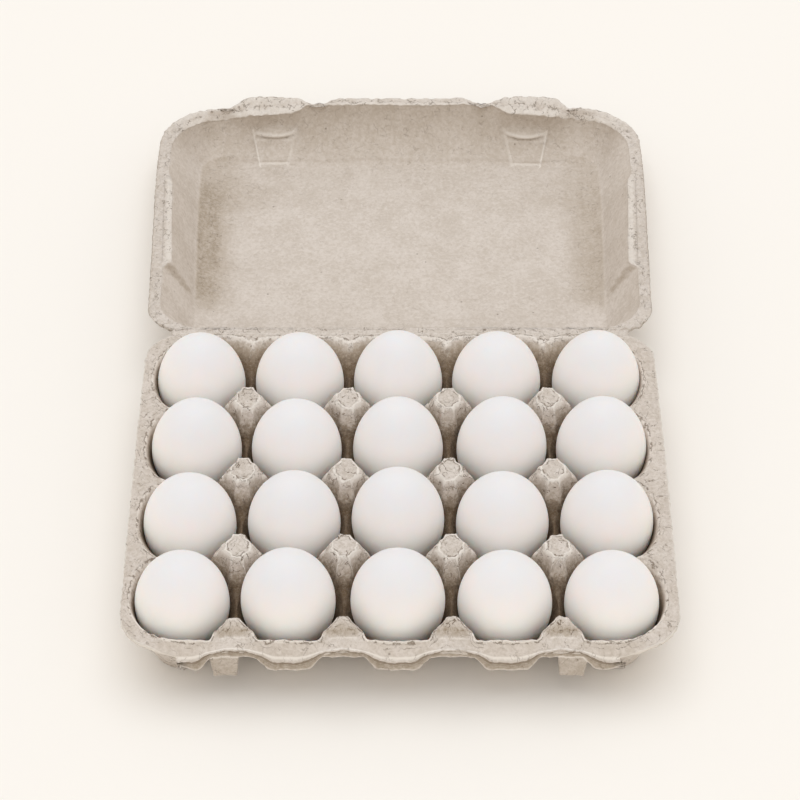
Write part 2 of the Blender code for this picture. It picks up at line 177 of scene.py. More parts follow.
def math_node(operation, one, other=0.0, clamp=False):
    settings = {"operation": operation, "use_clamp": clamp}
    return add_node(one.id_data, "Math", {0: one, 1: other}, **settings).outputs[0]


def times(one, other, clamp=False):
    return math_node("MULTIPLY", one, other, clamp)


def plus(one, other):
    return math_node("ADD", one, other)


def minus(one, other):
    return math_node("SUBTRACT", one, other)


def larger(one, other):
    return math_node("MAXIMUM", one, other)


def map_range(value, low, high, to_low=0.0, to_high=1.0, kind="SMOOTHSTEP"):
    inputs = {"Value": value, "From Min": low, "From Max": high, "To Min": to_low,
              "To Max": to_high}
    return add_node(value.id_data, "MapRange", inputs, interpolation_type=kind).outputs["Result"]


def noise_node(vector, scale, detail=4.0, roughness=0.6, distortion=0.0):
    inputs = {"Vector": vector, "Scale": scale, "Detail": detail, "Roughness": roughness,
              "Distortion": distortion}
    return add_node(vector.id_data, "TexNoise", inputs).outputs["Fac"]


def new_material(name, values):
    """A material, and its one surface shader with some inputs set."""
    made = bpy.data.materials.new(name)
    made.use_nodes = True
    return made, feed(made.node_tree.nodes["Principled BSDF"], values)


def add_bump(shader, height, strength, distance):
    inputs = {"Strength": strength, "Distance": distance, "Height": height}
    feed(shader, {"Normal": add_node(shader.id_data, "Bump", inputs).outputs["Normal"]})


print("shader helpers ready")

# %% [markdown]
# ## Camera and light
#
# A packshot of a carton is taken with a longish lens from above the front edge, so that the eggs
# overlap a little and the open lid fills the top of the picture. A long lens keeps the rows
# nearly parallel. A bright room, white above and warmer towards the horizon, does most of the
# lighting. Two wide soft lamps do the rest: a strong one overhead and a weak one from the front,
# which fills the shade below the eggs. Pulp has no gloss, so its form only shows in soft shade.

# %% Camera
CAMERA_AIM = Vector((0, -0.0505, 0.035))
CAMERA_DISTANCE = 1.189
CAMERA_ELEVATION = math.radians(43.903)
CAMERA_LENS = 106.44

camera_data = bpy.data.cameras.new("camera")
camera_data.lens = CAMERA_LENS
camera_data.sensor_width = 36.0
camera_data.clip_end = 20.0
camera = new_object("camera", camera_data)
back_and_up = Vector((0.0, -math.cos(CAMERA_ELEVATION), math.sin(CAMERA_ELEVATION)))
camera.location = CAMERA_AIM + CAMERA_DISTANCE * back_and_up
camera.rotation_euler = (math.pi / 2 - CAMERA_ELEVATION, 0.0, 0.0)
bpy.context.scene.camera = camera
print("camera at", tuple(round(value, 4) for value in camera.location))

# %% Floor, lamps and room
FLOOR_SIZE = 8
# name: strength, spread in degrees, and how far towards the front it stands in degrees
LAMPS = {"soft_lamp": (1.02, 62, -9), "front_fill": (0.34, 40, 44)}
ROOM_STRENGTH = 0.645
ROOM_TOP = (1, 1, 1, 1)
ROOM_HORIZON = (1.2, 1.03, 0.79, 1)
ROOM_WHITE_FROM = 0.7

floor_bm = bmesh.new()
bmesh.ops.create_grid(floor_bm, x_segments=1, y_segments=1, size=FLOOR_SIZE / 2)
floor = mesh_object("floor", floor_bm)

for lamp_name, (strength, spread, tilt) in LAMPS.items():
    lamp_data = bpy.data.lights.new(lamp_name, "SUN")
    lamp_data.energy = strength
    lamp_data.angle = math.radians(spread)
    lamp = new_object(lamp_name, lamp_data)
    lamp.rotation_euler = (math.radians(tilt), 0.0, 0.0)

world = bpy.data.worlds.new("room")
bpy.context.scene.world = world
world.use_nodes = True
direction = add_node(world.node_tree, "TexCoord").outputs["Generated"]
upward = add_node(world.node_tree, "SeparateXYZ", {0: direction}).outputs["Z"]
room_share = map_range(upward, 0.0, ROOM_WHITE_FROM, kind="LINEAR")
room_colour = mix_colors(room_share, ROOM_HORIZON, ROOM_TOP)
feed(world.node_tree.nodes["Background"], {"Strength": ROOM_STRENGTH, "Color": room_colour})
bpy.context.scene.view_settings.view_transform = "Standard"
print("floor, lamps and room are set")

# %% [markdown]
# ## Helpers for shapes
#
# Moulded pulp has no sharp corners and no two equal spots. Three kinds of helper give that:
# ramps, a soft minimum that rounds the edge where two slopes meet, and a ripple, a smooth random
# field made of sine waves in many directions. A ripple needs no image and gives the same bumps
# each time, since its directions come from a seeded generator.

# %% Helpers for shapes
WAVES = 16
WAVE_STRETCH = (0.7, 1.6)


def ramp(value, start, end):
    """0 before start, 1 after end, straight between."""
    return np.clip((value - start) / (end - start), 0.0, 1.0)


def ease(value, start, end):
    """Like a ramp, with rounded ends."""
    share = ramp(value, start, end)
    return share * share * (3 - 2 * share)


def plateau(value, start, full, fade, end):
    """0 outside start and end, 1 between full and fade."""
    return ease(value, start, full) * (1 - ease(value, fade, end))


def between(pair, share):
    return pair[0] + (pair[1] - pair[0]) * share


def along(value, corners):
    """Height at a distance, along straight stretches between (distance, height) corners."""
    distances, heights = zip(*corners)
    return np.interp(value, distances, heights)


def soft_min(one, other, reach):
    """The lower of two heights, rounded over a reach where they cross."""
    share = np.clip(0.5 + 0.5 * (other - one) / reach, 0.0, 1.0)
    return other + (one - other) * share - reach * share * (1 - share)


def soft_max(one, other, reach):
    return -soft_min(-one, -other, reach)


def ripple(x, y, size, seed):
    """A smooth random field of about -1 to 1 whose bumps are about size across."""
    rng = np.random.default_rng(seed)
    total = np.zeros_like(x)
    for _ in range(WAVES):
        turn, stretch = rng.uniform(0, 2 * math.pi), rng.uniform(*WAVE_STRETCH)
        phase = rng.uniform(0, 2 * math.pi)
        way = x * math.cos(turn) + y * math.sin(turn)
        total += np.sin(math.pi * way / (size * stretch) + phase)
    return total / math.sqrt(WAVES)


print("ripple sample", ripple(np.array([0.0, 5.0]), np.array([0.0, 5.0]), 8.0, 1).round(2))

# %% [markdown]
# ## The tray's surface as a height
#
# Seen from above, a pulp tray never overhangs: it has to leave its mould. So its upper surface is
# one height for each point of the plan. It could be sculpted, or joined from cups, posts and a
# rim, but a height is simplest to reason about: the sheet follows the cup's wall until a post,
# a web or the rim caps it, and the soft minimum rounds that edge.

# %% Heights of the cups
SHEET = 2.1
FOOT_RADIUS = 13.5
SADDLE_Z = 27.4
RIM_Z = 35
POST_Z = 42.6
WALL_RAKE = 0.24
WAISTS = (24.6, 22.3)
INNER_MOUTH = 27.4
SIDE_MOUTH = 24.5
SIDE_BEND = 0.5
FRONT_MOUTH = 26.2
BACK_MOUTH = 28.3
FLAT_SLOPES = (0.5, 0.74)
FACE_TRIM = 2.2
FACE_SLOPES = (1.05, 1.6)
ROUND_POWER = 2
SIDE_POWER = 2.6
BACK_POWER = 5
FOOT_ROUND = 1.5
TINY = 1e-6


def nearest_cup(x, y):
    column = np.clip(np.round(x / PITCH + (COLUMNS - 1) / 2), 0, COLUMNS - 1)
    row = np.clip(np.round(y / PITCH + (ROWS - 1) / 2), 0, ROWS - 1)
    return column, row


def cup_place(column, row):
    return (column - (COLUMNS - 1) / 2) * PITCH, (row - (ROWS - 1) / 2) * PITCH


def cup_mouth(dx, dy, column, row):
    """How far out a cup's wall reaches the saddle's height and the rim's, and how it bends."""
    side = ((column == 0) & (dx < 0)) | ((column == COLUMNS - 1) & (dx > 0))
    front = (row == 0) & (dy < 0)
    back = (row == ROWS - 1) & (dy > 0)
    half_x = np.where(side, SIDE_MOUTH, INNER_MOUTH)
    half_y = np.where(front, FRONT_MOUTH, np.where(back, BACK_MOUTH, INNER_MOUTH))
    power = np.where(back & ~side, BACK_POWER, ROUND_POWER)
    power = np.where(side & ~(front | back), SIDE_POWER, power)
    radius = np.maximum(np.hypot(dx, dy), TINY)
    share = (np.abs(dx) / radius / half_x) ** power + (np.abs(dy) / radius / half_y) ** power
    mouth = np.maximum(share, 1e-9) ** (-1 / power)
    steepness = np.abs(dx) / np.maximum(np.abs(dy), TINY)
    straight = half_y * np.hypot(1, np.minimum(steepness, FLAT_SLOPES[1]))
    flat = np.where(front & ~side, 1 - ease(steepness, *FLAT_SLOPES), 0.0)
    mouth = mouth + (straight - mouth) * flat
    post_face = ~(side | front) & ((row < ROWS - 1) | (dy < 0))
    mouth -= np.where(post_face, FACE_TRIM * ease(steepness, *FACE_SLOPES), 0.0)
    sideways = np.where(side, np.abs(dx) / radius, 0.0) ** 2
    return between(WAISTS, sideways), mouth, 1 - SIDE_BEND * sideways


def cup_wall(dx, dy, column, row):
    """A flat foot, a straight flank, then a steeper wall up to the mouth and past it."""
    radius = np.hypot(dx, dy)
    waist, mouth, bend = cup_mouth(dx, dy, column, row)
    flank = SHEET + (SADDLE_Z - SHEET) * (radius - FOOT_RADIUS) / (waist - FOOT_RADIUS)
    climb = np.maximum((radius - waist) / (mouth - waist), 0.0) ** bend
    upper = between((SADDLE_Z, RIM_Z), climb)
    above = RIM_Z + (radius - mouth) / WALL_RAKE
    wall = np.where(radius < waist, flank, np.maximum(upper, above))
    return soft_max(wall, SHEET, FOOT_ROUND)


print("cup wall at 0, 20, 27 mm:", cup_wall(np.array([0.0, 20, 27]), np.zeros(3), 2, 2).round(1))

# %% Heights of the posts, webs and rim
CAP_X = ((0, POST_Z), (5.2, POST_Z), (7.4, 41.2), (11.4, 36.7), (14.5, 28.3), (16.5, SADDLE_Z))
CAP_Y = ((0, POST_Z), (7.5, POST_Z), (14.8, 28.3), (16.5, SADDLE_Z))
SIDE_WEB = (108, 113)
BACK_WEB = (85, 97)
FRONT_WEB = (86.5, 93.8)
FRONT_FACE = ((94.4, POST_Z), (97.3, 38.9), (99.8, 35.5), (101.6, RIM_Z))
FRONT_POST = ((0, POST_Z), (1.2, POST_Z), (4.8, 38.8), (7.7, 37), (10.3, 35.6), (12, RIM_Z))
FRONT_RIM = (98.1, 98.2)
CRISP_TO_SOFT = (1.1, 3.6)
CRISP_HEIGHTS = (37, 40.5)
POST_ROUND = 0.9
FRONT_ROUND = 0.8
TRAY_FRONT = 105.6
BAND_START = 101.4
BAND_DROP = (1.8, 7.5)
POST_HALF = 9
POST_TOP = (6, 7.4)
CUP_START = 16.5
FOLD_CURVE = ((0, 0), (3, 0.02), (6, 0.09), (8.5, 0.18), (11, 0.31), (13, 0.47),
              (15, 0.67), (17, 0.86), (19, 0.95), (21.5, 0.99), (25, 1))
LIP_END = 102
BAND_END = 117


def beside(value, lines=POST_LINES_X):
    """Distance to the nearest line of posts."""
    return np.abs(np.asarray(value)[..., None] - lines).min(-1)


def cup_share(x):
    """0 in front of a post, 1 in front of a cup."""
    return ease(beside(x), POST_HALF, CUP_START)


def fold_share(x):
    """The same for the rim's fold, which swings in a wider curve."""
    return along(beside(x), FOLD_CURVE)


def front_post(x, y):
    """A half-post in the front rim: a narrow top, sloping shoulders and a hollow front face."""
    top = along(beside(x), FRONT_POST)
    face = along(-y, FRONT_FACE)
    back = between((SADDLE_Z, POST_Z), ramp(-y, *FRONT_WEB))
    return soft_min(soft_min(top, face, FRONT_ROUND), back, FRONT_ROUND)


def front_band(x, y):
    """How far the rim in front of the cups slopes down to the lip's crease."""
    drop = between(BAND_DROP, fold_share(x)) * (1 - ease(np.abs(x), LIP_END - 2, BAND_END))
    return drop * np.maximum(0.0, (-y - BAND_START) / (TRAY_FRONT - BAND_START))


def web_share(x, y):
    """0 among the cups, 1 out on the rim."""
    web = np.maximum(ramp(np.abs(x), *SIDE_WEB), ramp(y, *BACK_WEB))
    return np.maximum(web, ramp(-y, *FRONT_RIM))


def cap_height(x, y):
    """The highest that the sheet may be: saddles, posts, webs, rim and half-posts."""
    across, back = beside(x), beside(y, POST_LINES_Y)
    post = soft_min(along(across, CAP_X), along(back, CAP_Y), POST_ROUND)
    height = np.maximum(post, between((SADDLE_Z, RIM_Z), web_share(x, y)))
    height = np.where(y < 0, np.maximum(height, front_post(x, y)), height)
    return height - front_band(x, y)


def wall_and_cap(x, y):
    column, row = nearest_cup(x, y)
    cup_x, cup_y = cup_place(column, row)
    return cup_wall(x - cup_x, y - cup_y, column, row), cap_height(x, y)


def tray_height(x, y):
    """Edges are crisp on the rim and on the posts' tops, and round between the cups."""
    wall, cap = wall_and_cap(x, y)
    low = (1 - web_share(x, y)) * (1 - ramp(np.minimum(wall, cap), *CRISP_HEIGHTS))
    return soft_min(wall, cap, between(CRISP_TO_SOFT, low))


def rim_inset(x, y):
    """How far a point lies in from the nearest edge of a rim or a post's top, in millimetres."""
    wall, cap = wall_and_cap(x, y)
    inset = (wall - cap) * WALL_RAKE
    across, back = beside(x), beside(y, POST_LINES_Y)
    on_post = (across < POST_HALF) & (np.abs(y) < POST_LINES_Y[-1] + POST_HALF)
    top = np.minimum(POST_TOP[0] - across, POST_TOP[1] - back)
    return np.clip(np.where(on_post, np.minimum(inset, top), inset), -2.0, FAR_IN)


print("post top", tray_height(np.array([25.0]), np.array([0.0])).round(2))

# %% [markdown]
# ## The tray's underside and edges
#
# The felt side of the sheet is the upper surface lowered by the sheet's thickness. Lowering it
# straight down would thin the steep walls, so a ball of that thickness is rolled along the upper
# surface instead, and its lowest reach is kept. The same ring of test points tells where the
# surface is an edge: there the height stands above the mean of its surroundings.

# %% Underside and edges
BALL_TURNS = 16
BALL_SHARES = (0.5, 0.85, 1)
EDGE_REACH = 1.1


def ring_heights(x, y, reach):
    turns = [2 * math.pi * step / BALL_TURNS for step in range(BALL_TURNS)]
    return np.array([tray_height(x + reach * math.cos(turn), y + reach * math.sin(turn))
                     for turn in turns])


def under_height(x, y):
    low = tray_height(x, y) - SHEET
    for share in BALL_SHARES:
        lift = SHEET * math.sqrt(1 - share ** 2)
        low = np.minimum(low, ring_heights(x, y, SHEET * share).min(0) - lift)
    return np.maximum(low, 0.0)


def edge_amount(x, y):
    """Above 0 on an edge or a rim, below 0 in a crease."""
    return tray_height(x, y) - ring_heights(x, y, EDGE_REACH).mean(0)


print("edge on a post's rim", edge_amount(np.array([25.0 - 4.35]), np.array([4.35])).round(2))

# %% [markdown]
# ## Laying the mesh
#
# A square grid of faces would cut across the round rims and leave them jagged. So each cup gets
# its own web of faces: a disc for its foot, whose edge is extruded outwards ring by ring. One
# ring lies exactly on the rim, and the last one lies on the lines that neighbours share, where
# the twenty webs are welded into one sheet.

# %% Rings of one cup
TRAY_HALF = (TRAY_HIGH.x - TRAY_LOW.x) / 2 / MM + 0.5
TRAY_TAPER = ((-120, 1.8), (-85, 1.6), (-45, 0.9), (0, 0.3), (30, 0), (120, 0))
GRID_TO_TRAY = ((TRAY_HIGH.x + TRAY_LOW.x) / 2 - GRID.x) / MM
TRAY_BACK = (TRAY_HIGH.y - GRID.y) / MM
FRONT_CORNER = 21
BACK_CORNER = 20
INNER_FRACTIONS = (0.14, 0.32, 0.6, 1)
SIDE_FRACTIONS = (0.07, 0.16, 0.28, 0.42, 0.56, 0.7, 0.85, 1)
FRONT_FRACTIONS = (0.05, 0.12, 0.2, 0.29, 0.38, 0.48, 0.58, 0.68, 0.78, 0.89, 1)
FOOT_RADII = (13, 15, 20)
WALL_FRACTIONS = (0.4, 0.75, 1)
RIM_REACH = 0.85
RIM_MARGIN = 1.5
SLACK = 1e-4


# how far the coarse steps go, the coarse step, the fine step
INNER_SPACING = (9, 3, 1)
SIDE_SPACING = (1.6, 1.6, 1.6)
END_SPACING = (1.2, 1.2, 1.2)


def spaced(length, coarse_until, coarse, fine):
    """Distances from 0 to a length, coarse at first."""
    first = np.linspace(0, coarse_until, max(1, round(coarse_until / coarse)) + 1)
    rest = np.linspace(coarse_until, length, round((length - coarse_until) / fine) + 1)
    return list(first[:-1]) + list(rest)


def inside_tray(x, y):
    corner = FRONT_CORNER if y < 0 else BACK_CORNER
    end = TRAY_FRONT if y < 0 else TRAY_BACK
    half = TRAY_HALF - along(y, TRAY_TAPER)
    across = abs(x - GRID_TO_TRAY)
    if across > half or abs(y) > end:
        return False
    over_x = across - (half - corner)
    over_y = abs(y) - (end - corner)
    return over_x <= 0 or over_y <= 0 or math.hypot(over_x, over_y) <= corner


def pulled_in(cup, dx, dy):
    """A point of the cell's box, drawn in along its ray where the tray's corner is round."""
    if inside_tray(cup[0] + dx * (1 - SLACK), cup[1] + dy * (1 - SLACK)):
        return dx, dy
    low, high = 0.0, 1.0
    for _ in range(30):
        middle = (low + high) / 2
        if inside_tray(cup[0] + dx * middle, cup[1] + dy * middle):
            low = middle
        else:
            high = middle
    return dx * low, dy * low


def cell_edge(column, row):
    """Points round a cell's edge, counter-clockwise from +X, which its neighbours share."""
    cup = cup_place(column, row)
    points = []
    for sx, sy in ((1, 1), (-1, 1), (-1, -1), (1, -1)):
        outer_x = column == (COLUMNS - 1 if sx > 0 else 0)
        outer_y = row == (ROWS - 1 if sy > 0 else 0)
        width = TRAY_HALF + sx * GRID_TO_TRAY - abs(cup[0]) if outer_x else PITCH / 2
        depth = (TRAY_BACK if sy > 0 else TRAY_FRONT) - abs(cup[1]) if outer_y else PITCH / 2
        up = spaced(depth, *(SIDE_SPACING if outer_x else INNER_SPACING))
        across = spaced(width, *(END_SPACING if outer_y else INNER_SPACING))
        quarter = [(sx * width, sy * step) for step in up]
        quarter += [(sx * step, sy * depth) for step in reversed(across[:-1])]
        if sx != sy:
            quarter.reverse()
        points += quarter[:-1]
    return cup, np.array([pulled_in(cup, *point) for point in points])


def cell_rings(column, row):
    cup, edge = cell_edge(column, row)
    length = np.hypot(*edge.T)
    waist, mouth, _ = cup_mouth(edge[:, 0], edge[:, 1], column, row)
    arc = mouth + (POST_Z - RIM_Z) * WALL_RAKE
    past = np.array([inside_tray(*(np.array(cup) + point * (1 + 1 / reach)))
                     for point, reach in zip(edge, length)])
    inner_rim = np.minimum(arc, waist + (length - waist) * RIM_REACH)
    rim = np.where(past, inner_rim, np.minimum(mouth, length - RIM_MARGIN))
    at_side = row == ROWS - 1 or column in (0, COLUMNS - 1)
    fractions = FRONT_FRACTIONS if row == 0 else SIDE_FRACTIONS if at_side else INNER_FRACTIONS
    radii = [np.full_like(length, radius) for radius in FOOT_RADII] + [waist]
    radii += [waist + (rim - waist) * share for share in WALL_FRACTIONS]
    radii += [rim + (length - rim) * share for share in fractions]
    return cup, [edge * (radius / length)[:, None] for radius in radii]


front_rings = cell_rings(2, 0)[1]
print("rings in a front cup:", len(front_rings), "of", len(front_rings[0]), "points")

# %% Growing and welding the cells
WELD = 0.02


def loop_edges(bm, loop):
    return [bm.edges.get((vert, loop[index - 1])) for index, vert in enumerate(loop)]


def in_turn(verts, reverse=False):
    """Points of a circle by their angle from +X."""
    angle = {vert: math.atan2(vert.co.y, vert.co.x) % (2 * math.pi) for vert in verts}
    return sorted(angle, key=angle.get, reverse=reverse)


def grown(bm, loop):
    """Extrude a closed loop of points outwards, and give the new loop in the same order."""
    geom = bmesh.ops.extrude_edge_only(bm, edges=loop_edges(bm, loop))["geom"]
    fresh = set(only(bmesh.types.BMVert, geom))
    return [next(edge.other_vert(vert) for edge in vert.link_edges
                 if edge.other_vert(vert) in fresh) for vert in loop]


def add_cell(bm, column, row):
    (cup_x, cup_y), rings = cell_rings(column, row)
    shape = {"cap_ends": True, "cap_tris": True, "segments": len(rings[0]), "radius": 1.0}
    disc = bmesh.ops.create_circle(bm, **shape)["verts"]
    hub = max(disc, key=lambda vert: len(vert.link_edges))
    loop = in_turn(vert for vert in disc if vert is not hub)
    hub.co = (cup_x, cup_y, 0.0)
    for index, ring in enumerate(rings):
        if index:
            loop = grown(bm, loop)
        for vert, (dx, dy) in zip(loop, ring):
            vert.co = (cup_x + dx, cup_y + dy, 0.0)


tray_bm = bmesh.new()
for column in range(COLUMNS):
    for row in range(ROWS):
        add_cell(tray_bm, column, row)
bmesh.ops.remove_doubles(tray_bm, verts=tray_bm.verts, dist=WELD)
face_up(tray_bm)
rim_edges = sum(edge.is_boundary for edge in tray_bm.edges)
print("tray sheet:", len(tray_bm.faces), "faces,", rim_edges, "boundary edges")

# %% [markdown]
# ## Lifting the sheet
#
# Now every point gets its height. The rim of real pulp is crinkled where the wet sheet was
# pressed thin, so a fine ripple moves the surface by a few tenths of a millimetre, most of all on
# the edges, and a slow ripple makes the posts and flanges uneven. The raw outer edge is torn
# felt, and wanders a little. Four values stay behind on each point for the colours: how much of
# an edge it is, which becomes a painted highlight, and below 0 a painted crease shade; how far in
# from a rim; how much painted shade it takes in the hollows between the eggs and on the
# half-posts' faces, with a little stain on the flanges; and how rough the felt is.

# %% Lifting the sheet
CRINKLE = 0.28
WAVER = 0.35
RAGGED = 0.22
# heights over which the sheet takes painted brown shade: deep between the eggs, less out on the
# rim, none at the front edge
PAINTED_SHADE_INSIDE = (28, 41.5)
PAINTED_SHADE_OUTSIDE = (27, 34.6)
PAINTED_SHADE_OUTER = 0.8
PAINTED_SHADE_END = (98, 101)
NEAR_POST = (6, 8.5)
POST_FACE = (96.9, 98, 99.4, 100)
POST_FOOT = (99.7, 100.2, 100.5, 101.2)
# painted shade on the half-posts' hollow front faces
FACE_PAINTED_SHADE = 0.32
# painted highlight along the foot of each half-post's face
FOOT_HIGHLIGHT = 0.4
RIDGE_FADE = (0.95, 0.45)
TOP_HEIGHTS = (38.5, 41.5)
FLANGE_STAIN = 0.04
# painted highlight on the raw outer edge of the sheet
RAW_EDGE_HIGHLIGHT = 0.6
SIDE_SHIFT = 0.9
# painted highlight on the front band, towards the lip's crease
BAND_HIGHLIGHT = 0.05
BAND_HIGHLIGHT_FROM = (101.5, 103)

layers = mark_layers(tray_bm)
x, y = np.array([vert.co[:2] for vert in tray_bm.verts]).T
heights, unders = tray_height(x, y), under_height(x, y)
outer, on_flange = web_share(x, y), ramp(np.abs(x), *SIDE_WEB)
near_post = 1 - ease(beside(x), *NEAR_POST)
ridge_fade = between(RIDGE_FADE, ramp(heights, *TOP_HEIGHTS))
# painted highlight on convex edges and painted shade in creases, faded on the posts' ridges
edges_found = edge_amount(x, y) * (1 - ridge_fade * (1 - outer))
edges_found = np.maximum(edges_found, BAND_HIGHLIGHT * ramp(-y, *BAND_HIGHLIGHT_FROM))
crinkle = CRINKLE * (0.35 + 2.2 * np.clip(edges_found, 0, 0.4)) * ripple(x, y, 2.2, 11)
waver = WAVER * ripple(x, y, 13.0, 12) * ramp(heights, 20.0, 34.0)
edges_found = edges_found + FOOT_HIGHLIGHT * near_post * plateau(-y, *POST_FOOT)
insets = rim_inset(x, y) + SIDE_SHIFT * on_flange
# painted shade, darker and browner the lower the sheet lies between the eggs
painted_shade_inside = (1 - ramp(heights, *PAINTED_SHADE_INSIDE)) ** 1.3
painted_shade_outside = PAINTED_SHADE_OUTER * (1 - ramp(heights, *PAINTED_SHADE_OUTSIDE)) ** 0.5
shade_and_stain_amounts = between((painted_shade_inside, painted_shade_outside), outer) * (1 - ramp(-y, *PAINTED_SHADE_END))
# painted shade on the half-posts' faces, and a little stain on the side flanges
shade_and_stain_amounts = shade_and_stain_amounts + FACE_PAINTED_SHADE * near_post * plateau(-y, *POST_FACE)
shade_and_stain_amounts = np.minimum(shade_and_stain_amounts + FLANGE_STAIN * on_flange * ramp(heights, 34.0, 34.6), 1.0)
roughs = 0.45 + 0.4 * ramp(heights, 33.0, 34.5) + 0.4 * (1 - outer)
ragged = RAGGED * ripple(x + y, x - y, 2.6, 13)
for index, vert in enumerate(tray_bm.verts):
    vert.co.z = heights[index] + crinkle[index] + waver[index]
    edge = max(edges_found[index], RAW_EDGE_HIGHLIGHT) if vert.is_boundary else edges_found[index]
    mark(vert, layers, edge, insets[index], shade_and_stain_amounts[index], roughs[index])
    if vert.is_boundary and vert.co.y > -TRAY_FRONT + 0.1:
        vert.co.x += ragged[index] * math.copysign(1.0, vert.co.x)
        vert.co.z += 0.5 * ragged[index]
under_of = {vert: unders[index] + waver[index] for index, vert in enumerate(tray_bm.verts)}
print("heights", heights.min().round(2), "to", heights.max().round(2))

# %% [markdown]
# ## Front lip
#
# In front the rim slopes down to a crease, and a skirt hangs from it: deep under the cups,
# shallow under the half-posts, with two tabs that tuck into the lid. It is made by extruding the
# sheet's front edge row by row. A small undercut below the crease, with a painted shade line in
# it, gives the dark line that folded pulp shows; the crease's ridge and the skirt's lower edge get
# a painted highlight, and the skirt, which faces the front in shade, is painted darker and browner.

# %% Front lip
CREASE_OUT = (0.5, 1.4)
CREASE_Z = (33.1, 25.7)
LIP_LOW = (28.5, 20.2)
LIP_ROWS = 9
# for each row of the lip from the crease down: a painted highlight where above 0, a painted shade
# where below 0
LIP_SHADES = (0.08, 0.24, -0.9, -0.9, -0.7, -0.1, -0.4, 0, 0, 0, 0, 0.5)
# painted shade on the skirt, which faces the front in shade
LIP_PAINTED_SHADE = 0.42
LIP_ROUGH = 0.55
LIP_CURL = 0.85


def extrude_chain(bm, edges):
    """Extrude a chain of edges; gives the new edges and the new points with their old ones."""
    geom = bmesh.ops.extrude_edge_only(bm, edges=edges)["geom"]
    fresh = set(only(bmesh.types.BMVert, geom))
    old = {vert: next(edge.other_vert(vert) for edge in vert.link_edges
                      if edge.other_vert(vert) not in fresh) for vert in fresh}
    return [edge for edge in only(bmesh.types.BMEdge, geom) if set(edge.verts) <= fresh], old


def lip_rows(x):
    """Points of the lip's section below a place on the front edge, top to bottom."""
    share, fold = (float(found(np.array([x]))[0]) for found in (cup_share, fold_share))
    out = TRAY_FRONT + between(CREASE_OUT, fold)
    crease, low = between(CREASE_Z, fold), between(LIP_LOW, share)
    rows = [(out - 0.15, crease + 0.7), (out + 0.1, crease), (out - 0.75, crease - 0.45)]
    for step in range(1, LIP_ROWS + 1):
        down = step / LIP_ROWS
        rows.append((out - 0.55 + 0.35 * down, crease - 0.45 + (low - crease + 0.45) * down))
    return rows


def in_lip(vert):
    return vert.co.y < -TRAY_FRONT + 0.1 and abs(vert.co.x) < LIP_END


lip_verts = set()
top_of_lip = {}
chain = [edge for edge in tray_bm.edges if edge.is_boundary and all(map(in_lip, edge.verts))]
root_x = {vert: vert.co.x for edge in chain for vert in edge.verts}
for row, shade in enumerate(LIP_SHADES):
    chain, old = extrude_chain(tray_bm, chain)
    painted_shade_and_stain = LIP_PAINTED_SHADE if 1 < row < LIP_ROWS + 1 else 0.0
    for vert, above in old.items():
        x = root_x[vert] = root_x[above]
        rows = lip_rows(x)
        top_of_lip[vert] = top_of_lip.get(above, rows[1][1])
        out, height = rows[row]
        wobble = math.sin(x * 1.9 + row) * 0.12 + math.sin(x * 0.7) * 0.2
        lifted = LIP_CURL * max(0.0, top_of_lip[vert] - height) + 0.7 * math.sin(row * 2.1)
        lifted *= ease(abs(x), LIP_END - 9.0, LIP_END)
        vert.co = (x + 0.5 * lifted, -out + wobble * 0.5 - 0.25 * lifted, height + wobble + lifted)
        mark(vert, layers, shade, FAR_IN, painted_shade_and_stain, LIP_ROUGH)
        lip_verts.add(vert)
print("lip:", len(lip_verts), "points")

# %% Tabs
TAB_PLACES = (-79, 79.7)
TAB_TOP_HALF = 6.8
TAB_LOW_HALF = 5.3
TAB_LOW = 15.2
TAB_ROWS = 11
# painted highlight on each tab's lower edge
TAB_HIGHLIGHT = 0.45
TAB_ROUGH = 0.9

narrow = 1 + (TAB_LOW_HALF / TAB_TOP_HALF - 1) / TAB_ROWS
for place in TAB_PLACES:
    tab = [edge for edge in chain
           if abs(sum(vert.co.x for vert in edge.verts) / 2 - place) < TAB_TOP_HALF]
    tops = {vert for edge in tab for vert in edge.verts}
    widest = max(abs(vert.co.x - place) for vert in tops)
    top_z = {}
    for vert in tops:
        vert.co.x = place + (vert.co.x - place) * TAB_TOP_HALF / widest
        top_z[vert] = vert.co.z
    for row in range(1, TAB_ROWS + 1):
        tab, old = extrude_chain(tray_bm, tab)
        shade = TAB_HIGHLIGHT if row == TAB_ROWS else 0.0
        for vert, above in old.items():
            z = top_z[vert] = top_z[above]
            height = z + (TAB_LOW - z) * row / TAB_ROWS
            vert.co = (place + (above.co.x - place) * narrow, above.co.y + 0.02, height)
            # the tabs take half of the skirt's painted shade
            mark(vert, layers, shade, FAR_IN, 0.5 * LIP_PAINTED_SHADE, TAB_ROUGH)
            lip_verts.add(vert)
print("tray sheet with lip:", len(tray_bm.faces), "faces")

# %% [markdown]
# ## Giving the sheet its thickness
#
# A region extrusion that keeps the original faces copies the whole sheet and closes it round the
# edge in one go. The copy then goes to the underside: points of the moulding drop to the rolled
# ball's height, and points of the front lip move in along their own normals.

# %% Thickness
NORMAL_BAND = (99, 102)
SKIN = 0.9


def place_of(vert):
    return tuple(round(value, 4) for value in vert.co)


